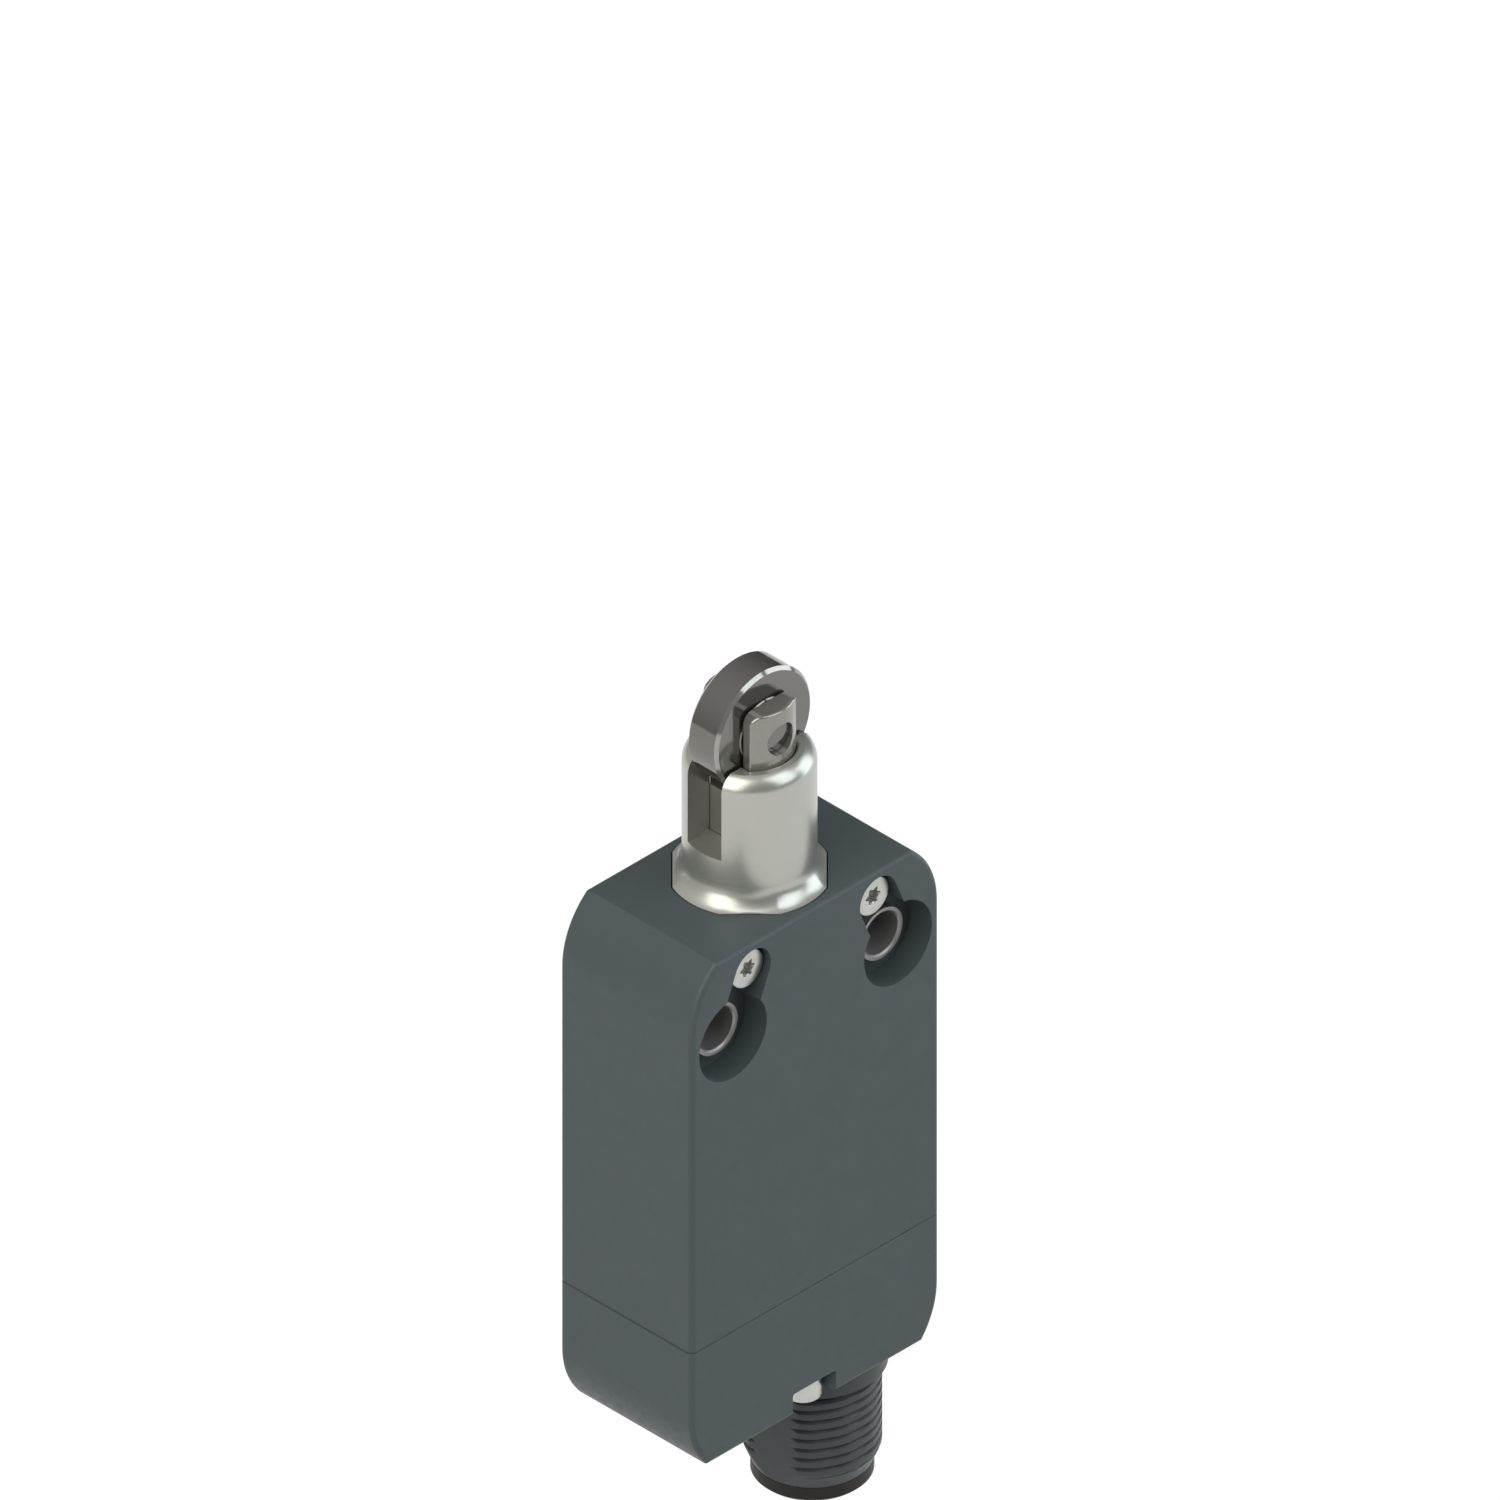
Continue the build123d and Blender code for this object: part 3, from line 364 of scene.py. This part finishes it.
def lathe(rings, segments, place, closed=False):
    """Points and faces of a turned form. A ring is (radius, height), the radius a number or
    a function of the angle. place turns (across, aside, height) into a point. An open form
    is capped at both ends, and a closed one joins its last ring to its first."""
    points = []
    for radius, height in rings:
        for step in range(segments):
            angle = math.tau * step / segments
            reach = radius(angle) if callable(radius) else radius
            points.append(place(reach * math.cos(angle), reach * math.sin(angle), height))
    faces = []
    count = len(rings)
    for ring in range(count if closed else count - 1):
        here = ring * segments
        there = ((ring + 1) % count) * segments
        for step in range(segments):
            after = (step + 1) % segments
            faces.append((here + step, here + after, there + after, there + step))
    if not closed:
        faces.append(tuple(reversed(range(segments))))
        faces.append(tuple(range((count - 1) * segments, count * segments)))
    return points, faces


def mirrored_rings(profile, middle):
    """Rings from a profile of (radius, offset) and its mirror image about the middle."""
    both = profile + [(radius, -offset) for radius, offset in reversed(profile)]
    return [(radius, middle + offset) for radius, offset in both]


def join(parts):
    """One list of points and faces from several."""
    points = []
    faces = []
    for part_points, part_faces in parts:
        start = len(points)
        points.extend(part_points)
        faces.extend(tuple(start + corner for corner in face) for face in part_faces)
    return points, faces


def upright(centre):
    """Places a turned form on a vertical axis, its heights being levels of the row."""
    return lambda across, aside, height: (centre[0] + across, centre[1] + aside, height)


def from_front(x, z):
    """Places a turned form on an axis square to the front face, its heights being Y."""
    return lambda across, aside, height: (x + across, height, z + aside)


def in_mm(node):
    """Lowest and highest corner of a CAD node in millimetres."""
    low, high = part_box(node)
    return Vector(low) / MM, Vector(high) / MM


# Connector shell with its helical thread and the flat along it. Radii and lengths are in
# millimetres, and levels are counted from the ends of the CAD shell. The two shares of the
# pitch are half of the crest's width and half of the root's. The thread runs out on the cone
# below it, over a share of the cone's length.
THREAD_PITCH = 1.0
THREAD_RADIUS = 6.0
THREAD_DEPTH = 0.35
THREAD_LENGTH = 7.8
THREAD_FLAT = 5.33
FLAT_ANGLE = math.radians(186)
CREST_SHARE = 0.3
ROOT_SHARE = 0.04
CONE_LENGTH = 1.65
RUN_OUT_SHARE = 0.45
NOSE_RADIUS = 5.33
SHELL_BORE = 4.9
BORE_DEPTH = 13.95
INNER_BORE = 3.5
NECK_RADIUS = 4.4
NECK_LENGTH = 4.9
COLLAR_RADIUS = 6.55
COLLAR_LENGTH = 5.34
UNDERCUT_LENGTH = 0.56
SHELL_EDGE = 0.12
NOSE_EDGE = 0.06
STEPS_PER_PITCH = 12
SHELL_SEGMENTS = 192


def thread_radius(angle, level, depth):
    """Radius of a right-hand V thread with a flat crest and root."""
    turn = (level / THREAD_PITCH - angle / math.tau) % 1.0
    from_crest = min(turn, 1.0 - turn)
    slope = (from_crest - CREST_SHARE) / (0.5 - CREST_SHARE - ROOT_SHARE)
    return THREAD_RADIUS - depth * min(max(slope, 0.0), 1.0)


def within_flat(radius, angle):
    """The radius cut back to the flat that runs along the thread."""
    facing = math.cos(angle - FLAT_ANGLE)
    return min(radius, THREAD_FLAT / facing) if facing > 0 else radius


def threaded_ring(level, limit=THREAD_RADIUS, depth=THREAD_DEPTH):
    """A ring of the thread, turned down to a limit and cut back to the flat."""
    return (
        lambda angle: within_flat(min(thread_radius(angle, level, depth), limit), angle),
        level,
    )


def make_connector_shell():
    low, high = in_mm("connector_shell")
    top = high.z
    nose = low.z
    collar_top = top - NECK_LENGTH
    collar_bottom = collar_top - COLLAR_LENGTH
    thread_top = collar_bottom - UNDERCUT_LENGTH
    cone_top = thread_top - THREAD_LENGTH
    rings = [
        (INNER_BORE, top),
        (NECK_RADIUS - SHELL_EDGE, top),
        (NECK_RADIUS, top - SHELL_EDGE),
        (NECK_RADIUS, collar_top),
        (COLLAR_RADIUS - SHELL_EDGE, collar_top),
        (COLLAR_RADIUS, collar_top - SHELL_EDGE),
        (COLLAR_RADIUS, collar_bottom + SHELL_EDGE),
        (COLLAR_RADIUS - SHELL_EDGE, collar_bottom),
        (NOSE_RADIUS, collar_bottom),
        (NOSE_RADIUS, thread_top),
    ]
    steps = round(THREAD_LENGTH / THREAD_PITCH * STEPS_PER_PITCH)
    for step in range(steps + 1):
        rings.append(threaded_ring(thread_top - THREAD_LENGTH * step / steps))
    cone_steps = round(CONE_LENGTH / THREAD_PITCH * STEPS_PER_PITCH)
    for step in range(1, cone_steps + 1):
        share = step / cone_steps
        limit = THREAD_RADIUS + (NOSE_RADIUS - THREAD_RADIUS) * share
        depth = THREAD_DEPTH * max(0.0, 1.0 - share / RUN_OUT_SHARE)
        rings.append(threaded_ring(cone_top - CONE_LENGTH * share, limit, depth))
    rings += [
        (NOSE_RADIUS, nose + NOSE_EDGE),
        (NOSE_RADIUS - NOSE_EDGE, nose),
        (SHELL_BORE, nose),
        (SHELL_BORE, nose + BORE_DEPTH),
        (INNER_BORE, nose + BORE_DEPTH),
    ]
    points, faces = lathe(rings, SHELL_SEGMENTS, upright(CONNECTOR_AXIS / MM), closed=True)
    add_piece(
        "connector_shell_threaded",
        points,
        faces,
        "housing",
        "connector_metal",
        "connector_shell",
    )


make_connector_shell()


# Roller with proud hubs and a bevel on each rim, turned about its axle. The bevels are the
# fifth band of faces from either bore, and a paler steel paints a highlight on them.
ROLLER_BORE = 1.61
HUB_RADIUS = 3.05
HUB_PROUD = 0.12
HUB_BEVEL = 0.1
RIM_BEVEL = 0.3
RIM_BAND = 4
# A paler steel for the rim bevels, as a painted highlight
highlit_rim = turned_steel(
    "roller_rim_highlight",
    (0.34, 0.33, 0.31),
    0.12,
    ROLLER_CENTRE,
    ROUND_Y,
    line_height=0.00003,
    metallic=0.74,
)


def make_roller():
    low, high = in_mm("roller")
    centre = ROLLER_CENTRE / MM
    radius = (high.z - low.z) / 2
    hub_half = (high.y - low.y) / 2
    rim_half = hub_half - HUB_PROUD
    profile = [
        (ROLLER_BORE, hub_half),
        (HUB_RADIUS - HUB_BEVEL, hub_half),
        (HUB_RADIUS, hub_half - HUB_BEVEL),
        (HUB_RADIUS, rim_half),
        (radius - RIM_BEVEL, rim_half),
        (radius, rim_half - RIM_BEVEL),
    ]
    rings = mirrored_rings(profile, centre.y)
    place = from_front(centre.x, centre.z)
    points, faces = lathe(rings, LARGE_ROUND_SEGMENTS, place, closed=True)
    roller = add_piece("roller_turned", points, faces, "roller", "roller_steel", "roller")
    # The rim bevels take the paler steel: a painted highlight
    roller.data.materials.append(highlit_rim)
    far_rim_band = len(rings) - 2 - RIM_BAND
    for face in roller.data.polygons:
        if face.index // LARGE_ROUND_SEGMENTS in (RIM_BAND, far_rim_band):
            face.material_index = 1


make_roller()


# Axle, riveted nearly flush with the ears of the fork
AXLE_HALF_LENGTH = 3.3
AXLE_EDGE = 0.12


def make_axle():
    low, high = in_mm("roller_axle")
    centre = (low + high) / 2
    radius = (high.z - low.z) / 2
    profile = [
        (radius - AXLE_EDGE, -AXLE_HALF_LENGTH),
        (radius, AXLE_EDGE - AXLE_HALF_LENGTH),
    ]
    rings = mirrored_rings(profile, centre.y)
    points, faces = lathe(rings, ROUND_SEGMENTS, from_front(centre.x, centre.z))
    add_piece("roller_axle_turned", points, faces, "plunger", "roller_steel", "roller_axle")


make_axle()


# The swept foot of the guide head: an arc from the sleeve's wall down to the foot's edge,
# narrowed at the foot's four flats, fitted over the plainer solid
SLEEVE_RADIUS = 5.833
FLARE_RADIUS = 2.2
FLARE_LIP = 0.06
FLARE_WALL = 0.5
FLARE_STEPS = 16
FOOT_RADIUS = 7.1
FOOT_FLAT = 6.6


def flare_reach(share):
    """Radius by angle of the ring that has gone a share of the way out from the sleeve to
    the foot's edge. The foot has four flats, which face the housing's corners."""
    quarter = math.pi / 2

    def reach(angle):
        facing = math.cos((angle % quarter) - quarter / 2)
        edge = min(FOOT_RADIUS, FOOT_FLAT / facing)
        return SLEEVE_RADIUS + (edge - SLEEVE_RADIUS) * share

    return reach


def make_flare():
    foot_level = in_mm("upper_housing")[1].z
    depth = FOOT_RADIUS - SLEEVE_RADIUS
    end = math.acos(1 - depth / FLARE_RADIUS)
    top = foot_level + FLARE_LIP + FLARE_RADIUS * math.sin(end)
    rings = []
    for step in range(FLARE_STEPS + 1):
        turn = end * step / FLARE_STEPS
        share = FLARE_RADIUS * (1 - math.cos(turn)) / depth
        rings.append((flare_reach(share), top - FLARE_RADIUS * math.sin(turn)))
    inner = SLEEVE_RADIUS - FLARE_WALL
    rings += [(flare_reach(1), foot_level), (inner, foot_level), (inner, top)]
    points, faces = lathe(rings, LARGE_ROUND_SEGMENTS, upright(HEAD_AXIS / MM), closed=True)
    add_piece("guide_head_flare", points, faces, "housing", "head_steel")


make_flare()


# Screws with a six-lobe recess. Its walls lean in towards its floor by the draft, and its
# mouth is bevelled, a little more between the lobes than at their tips.
LOBES = 6
LOBE_OUTER = 0.88
LOBE_INNER = 0.6
LOBE_POWER = 1.2
RECESS_DEPTH = 0.75
RECESS_DRAFT = 0.05
MOUTH_DEPTH = 0.05
MOUTH_OUTER = 0.93
MOUTH_INNER = 0.66
FLOOR_CENTRE = 0.05
HEAD_SCREW_HEAD = 1.4
HEAD_SCREW_SHANK = 1.1
BASE_SCREW_HEAD = 2.82
BASE_SCREW_SHANK = 1.0
SCREW_EDGE = 0.15
EDGE_INSET = 0.06
EDGE_DROP = 0.045
TIP_LENGTH = 0.4
TIP_BEVEL = 0.3


def lobed(outer, inner):
    """Radius of the six-lobe outline by its angle."""

    def reach(angle):
        return inner + (outer - inner) * (0.5 + 0.5 * math.cos(LOBES * angle)) ** LOBE_POWER

    return reach


def screw_rings(head_radius, head_height, shank_radius, length, face):
    """Rings of a screw from the floor of its recess to its tip. face is the level of the
    head's face, and the shank points the way that levels grow."""
    floor = face + RECESS_DEPTH
    back = face + head_height
    tip = face + length
    return [
        (FLOOR_CENTRE, floor),
        (lobed(LOBE_OUTER - RECESS_DRAFT, LOBE_INNER - RECESS_DRAFT), floor),
        (lobed(LOBE_OUTER, LOBE_INNER), face + MOUTH_DEPTH),
        (lobed(MOUTH_OUTER, MOUTH_INNER), face),
        (head_radius - SCREW_EDGE, face),
        (head_radius - EDGE_INSET, face + EDGE_DROP),
        (head_radius, face + SCREW_EDGE),
        (head_radius, back),
        (shank_radius, back),
        (shank_radius, tip - TIP_LENGTH),
        (shank_radius - TIP_BEVEL, tip),
    ]


def make_head_screws():
    low, high = in_mm("head_screws")
    radius = (high.z - low.z) / 2
    centre_z = (high.z + low.z) / 2
    rings = screw_rings(radius, HEAD_SCREW_HEAD, HEAD_SCREW_SHANK, high.y - low.y, low.y)
    screws = [
        lathe(rings, ROUND_SEGMENTS, from_front(centre_x, centre_z))
        for centre_x in (low.x + radius, high.x - radius)
    ]
    points, faces = join(screws)
    add_piece("head_screws_six_lobe", points, faces, "housing", "screw_steel", "head_screws")


def make_base_screws():
    low, high = in_mm("base_screws")
    radius = (high.x - low.x) / 2
    centre_x = (high.x + low.x) / 2
    rings = screw_rings(radius, BASE_SCREW_HEAD, BASE_SCREW_SHANK, high.z - low.z, low.z)
    screws = [
        lathe(rings, ROUND_SEGMENTS, upright((centre_x, centre_y)))
        for centre_y in (low.y + radius, high.y - radius)
    ]
    points, faces = join(screws)
    add_piece("base_screws_six_lobe", points, faces, "housing", "screw_steel", "base_screws")


make_head_screws()
make_base_screws()


# Springs of round wire with closed ends
WIRE_SEGMENTS = 12
STEPS_PER_TURN = 40
CLOSED_TURNS = 0.8


def coil_level(turn, turns, bottom, top, wire_radius):
    """Height of the wire's centre: closed turns at both ends and an even rise between."""
    closed_rise = 2 * wire_radius * CLOSED_TURNS
    low = bottom + wire_radius
    high = top - wire_radius
    if turn < CLOSED_TURNS:
        return low + closed_rise * turn / CLOSED_TURNS
    if turn > turns - CLOSED_TURNS:
        return high - closed_rise * (turns - turn) / CLOSED_TURNS
    share = (turn - CLOSED_TURNS) / (turns - 2 * CLOSED_TURNS)
    return low + closed_rise + (high - low - 2 * closed_rise) * share


def wire_coil(mean_radius, wire_radius, bottom, top, turns):
    """Points and faces of a compression spring on the plunger's axis."""
    centre_x, centre_y = HEAD_AXIS.x / MM, HEAD_AXIS.y / MM
    points = []
    steps = round(turns * STEPS_PER_TURN)
    for step in range(steps + 1):
        turn = turns * step / steps
        angle = math.tau * turn
        level = coil_level(turn, turns, bottom, top, wire_radius)
        for side in range(WIRE_SEGMENTS):
            around = math.tau * side / WIRE_SEGMENTS
            reach = mean_radius + wire_radius * math.cos(around)
            points.append(
                (
                    centre_x + reach * math.cos(angle),
                    centre_y + reach * math.sin(angle),
                    level + wire_radius * math.sin(around),
                )
            )
    faces = []
    for step in range(steps):
        here = step * WIRE_SEGMENTS
        there = here + WIRE_SEGMENTS
        for side in range(WIRE_SEGMENTS):
            after = (side + 1) % WIRE_SEGMENTS
            faces.append((here + side, here + after, there + after, there + side))
    faces.append(tuple(range(WIRE_SEGMENTS)))
    faces.append(tuple(reversed(range(steps * WIRE_SEGMENTS, (steps + 1) * WIRE_SEGMENTS))))
    return points, faces


def make_spring(node, body, wire_radius, turns):
    """A round-wire spring in the space of its CAD node."""
    low, high = in_mm(node)
    mean_radius = (high.x - low.x) / 2 - wire_radius
    points, faces = wire_coil(mean_radius, wire_radius, low.z, high.z, turns)
    return add_piece(node + "_wire", points, faces, body, "spring_steel", node)


def compress(spring):
    """Gives the spring a mesh of its own."""
    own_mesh(spring)


# Springs of the plunger, the carrier and the contact bridges. The spring of the opening
# bridge lengthens as that one moves, so it gets no mesh of its own.
return_spring = make_spring("return_spring", "housing", wire_radius=0.35, turns=6.5)
carrier_spring = make_spring("carrier_spring", "housing", wire_radius=0.18, turns=7.5)
make_spring("nc_contact_spring", "carrier", wire_radius=0.15, turns=3.6)
no_contact_spring = make_spring("no_contact_spring", "carrier", wire_radius=0.15, turns=3.6)
compress(return_spring)
compress(carrier_spring)
compress(no_contact_spring)


# Rubber rings of round section
RING_SECTION_STEPS = 16


def make_ring(node, body):
    """A round rubber ring in the space of its CAD node."""
    low, high = in_mm(node)
    section = (high.z - low.z) / 2
    centre_radius = (high.x - low.x) / 2 - section
    level = (high.z + low.z) / 2
    rings = []
    for step in range(RING_SECTION_STEPS):
        around = math.tau * step / RING_SECTION_STEPS
        reach = centre_radius + section * math.cos(around)
        rings.append((reach, level - section * math.sin(around)))
    place = upright(((low.x + high.x) / 2, (low.y + high.y) / 2))
    points, faces = lathe(rings, ROUND_SEGMENTS, place, closed=True)
    add_piece(node + "_round", points, faces, body, "black_rubber", node)


make_ring("head_o_ring", "housing")
make_ring("plunger_o_ring", "plunger")
make_ring("connector_o_ring", "housing")


# Stage. The floor is far enough down that the switch's shadow falls below the photograph's
# frame. Lengths are in metres here and angles in degrees.
FLOOR_DROP = 0.12
FLOOR_HALF_SIDE = 3.0
FLOOR_WHITE = 1.1
FLOOR_WHITE_SHARE = 0.9
FLOOR_GREY = 0.45
WORLD_FILL = 0.3
CANOPY_RADIUS = 1.0
CANOPY_SEGMENTS = 48
CANOPY_LEVELS = 12
CANOPY_FOOT = -5
CANOPY_DARK = 0.14
CANOPY_LIGHT = 0.8
UP_AND_LEFT = Vector((-0.32, 0.38, 0.62))
LAMP_DISTANCE = 0.7
WARM_WHITE = (1.0, 1.0, 0.93)
COOL_WHITE = (0.88, 0.96, 1.0)


def empty_tree(owner):
    """The node tree of a new material or world, with no nodes in it."""
    owner.use_nodes = True
    owner.node_tree.nodes.clear()
    return owner.node_tree


def seen_share(tree):
    """1 for a ray from the camera, or on from gloss or glass, and 0 for the rest."""
    path = tree.nodes.new("ShaderNodeLightPath")
    total = path.outputs["Is Camera Ray"]
    for name in ("Is Glossy Ray", "Is Transmission Ray"):
        both = tree.nodes.new("ShaderNodeMath")
        both.operation = "ADD"
        both.use_clamp = True
        tree.links.new(total, both.inputs[0])
        tree.links.new(path.outputs[name], both.inputs[1])
        total = both.outputs[0]
    return total


def stage_mesh(name, points, faces, material):
    """A mesh object of the stage, from points in metres."""
    mesh = bpy.data.meshes.new(name)
    mesh.from_pydata(points, [], faces)
    mesh.materials.append(material)
    piece = bpy.data.objects.new(name, mesh)
    scene.collection.objects.link(piece)
    return piece


def make_floor():
    """A white floor, and a matt grey one to the light that spreads from it."""
    material = bpy.data.materials.new("floor_white")
    tree = empty_tree(material)
    matt = tree.nodes.new("ShaderNodeBsdfDiffuse")
    matt.inputs["Color"].default_value = (FLOOR_GREY, FLOOR_GREY, FLOOR_GREY, 1)
    white = tree.nodes.new("ShaderNodeEmission")
    white.inputs["Color"].default_value = (1, 1, 1, 1)
    white.inputs["Strength"].default_value = FLOOR_WHITE
    share = tree.nodes.new("ShaderNodeMath")
    share.operation = "MULTIPLY"
    share.inputs[1].default_value = FLOOR_WHITE_SHARE
    mix = tree.nodes.new("ShaderNodeMixShader")
    out = tree.nodes.new("ShaderNodeOutputMaterial")
    tree.links.new(seen_share(tree), share.inputs[0])
    tree.links.new(share.outputs[0], mix.inputs["Fac"])
    tree.links.new(matt.outputs[0], mix.inputs[1])
    tree.links.new(white.outputs[0], mix.inputs[2])
    tree.links.new(mix.outputs[0], out.inputs["Surface"])
    level = cad_box[0][2] - FLOOR_DROP
    corners = [
        (HEAD_AXIS.x + x * FLOOR_HALF_SIDE, HEAD_AXIS.y + y * FLOOR_HALF_SIDE, level)
        for x, y in ((-1, -1), (1, -1), (1, 1), (-1, 1))
    ]
    stage_mesh("floor", corners, [(0, 1, 2, 3)], material)


def make_world():
    """White to the camera and in reflections, and a dimmer even fill for the rest."""
    world = bpy.data.worlds.new("studio")
    scene.world = world
    tree = empty_tree(world)
    fill = tree.nodes.new("ShaderNodeBackground")
    fill.inputs["Color"].default_value = (1, 1, 1, 1)
    fill.inputs["Strength"].default_value = WORLD_FILL
    white = tree.nodes.new("ShaderNodeBackground")
    white.inputs["Color"].default_value = (1, 1, 1, 1)
    white.inputs["Strength"].default_value = 1.0
    mix = tree.nodes.new("ShaderNodeMixShader")
    out = tree.nodes.new("ShaderNodeOutputWorld")
    tree.links.new(seen_share(tree), mix.inputs["Fac"])
    tree.links.new(fill.outputs[0], mix.inputs[1])
    tree.links.new(white.outputs[0], mix.inputs[2])
    tree.links.new(mix.outputs[0], out.inputs["Surface"])


def canopy_material():
    """Grey light that grows from dark to light towards UP_AND_LEFT."""
    material = bpy.data.materials.new("canopy_grey")
    tree = empty_tree(material)
    place = tree.nodes.new("ShaderNodeTexCoord").outputs["Object"]
    along = tree.nodes.new("ShaderNodeVectorMath")
    along.operation = "DOT_PRODUCT"
    along.inputs[1].default_value = (UP_AND_LEFT / CANOPY_RADIUS)[:]
    tree.links.new(place, along.inputs[0])
    tone = tree.nodes.new("ShaderNodeMapRange")
    tone.inputs["From Min"].default_value = 0.0
    tone.inputs["From Max"].default_value = 1.0
    tone.inputs["To Min"].default_value = CANOPY_DARK
    tone.inputs["To Max"].default_value = CANOPY_LIGHT
    tree.links.new(along.outputs["Value"], tone.inputs["Value"])
    grey = tree.nodes.new("ShaderNodeEmission")
    tree.links.new(tone.outputs["Result"], grey.inputs["Strength"])
    out = tree.nodes.new("ShaderNodeOutputMaterial")
    tree.links.new(grey.outputs[0], out.inputs["Surface"])
    return material


def make_canopy():
    """The grey studio round the switch, from its foot's height up, which only gloss shows."""
    points = []
    for level in range(CANOPY_LEVELS + 1):
        rise = math.radians(CANOPY_FOOT + (90 - CANOPY_FOOT) * level / CANOPY_LEVELS)
        reach = CANOPY_RADIUS * math.cos(rise)
        height = CANOPY_RADIUS * math.sin(rise)
        for step in range(CANOPY_SEGMENTS):
            angle = math.tau * step / CANOPY_SEGMENTS
            points.append((reach * math.cos(angle), reach * math.sin(angle), height))
    faces = []
    for level in range(CANOPY_LEVELS):
        here = level * CANOPY_SEGMENTS
        there = here + CANOPY_SEGMENTS
        for step in range(CANOPY_SEGMENTS):
            after = (step + 1) % CANOPY_SEGMENTS
            faces.append((here + step, there + step, there + after, here + after))
    canopy = stage_mesh("canopy", points, faces, canopy_material())
    canopy.visible_camera = False
    canopy.visible_diffuse = False
    canopy.visible_transmission = False
    canopy.visible_shadow = False


def softbox(name, azimuths, heights, radiance, colour):
    """A lamp that looks at the switch and fills a patch of the studio: azimuths to the right
    of the camera and heights above the horizon. Its watts follow from its radiance."""
    azimuth = math.radians(sum(azimuths) / 2)
    height = math.radians(sum(heights) / 2)
    width = 2 * LAMP_DISTANCE * math.tan(math.radians(azimuths[1] - azimuths[0]) / 2)
    depth = 2 * LAMP_DISTANCE * math.tan(math.radians(heights[1] - heights[0]) / 2)
    lamp = bpy.data.lights.new(name, "AREA")
    lamp.shape = "RECTANGLE"
    lamp.size = width * math.cos(height)
    lamp.size_y = depth
    lamp.energy = radiance * math.pi * lamp.size * lamp.size_y
    lamp.color = colour
    lamp_object = bpy.data.objects.new(name, lamp)
    scene.collection.objects.link(lamp_object)
    towards_camera = Vector((-LOOK.x, -LOOK.y, 0)).normalized()
    level = towards_camera * math.cos(azimuth) + RIGHT * math.sin(azimuth)
    offset = (level * math.cos(height) + Vector((0, 0, 1)) * math.sin(height)) * LAMP_DISTANCE
    lamp_object.location = Vector((0, HEAD_AXIS.y, 0)) + offset
    lamp_object.rotation_euler = (-offset).to_track_quat("-Z", "Y").to_euler()


def make_camera():
    data = bpy.data.cameras.new("camera")
    data.type = "ORTHO"
    data.ortho_scale = PHOTO_SIDE / PIXELS_PER_MM * MM
    data.clip_start = CAMERA_CLIP_START
    data.clip_end = CAMERA_CLIP_END
    camera = bpy.data.objects.new("camera", data)
    scene.collection.objects.link(camera)
    centre = (RIGHT * CENTRE_RIGHT_MM + UP * CENTRE_UP_MM) * MM
    camera.location = centre - LOOK * CAMERA_DISTANCE
    camera.rotation_euler = LOOK.to_track_quat("-Z", "Y").to_euler()
    scene.camera = camera


make_floor()
make_world()
make_canopy()
softbox("softbox_left", azimuths=(-68, -9), heights=(6, 66), radiance=2.9, colour=WARM_WHITE)
softbox("softbox_right", azimuths=(45, 87), heights=(12, 62), radiance=2.6, colour=COOL_WHITE)
softbox("softbox_far_right", azimuths=(95, 128), heights=(-8, 36), radiance=2.8, colour=COOL_WHITE)
make_camera()
scene.view_settings.view_transform = "Standard"
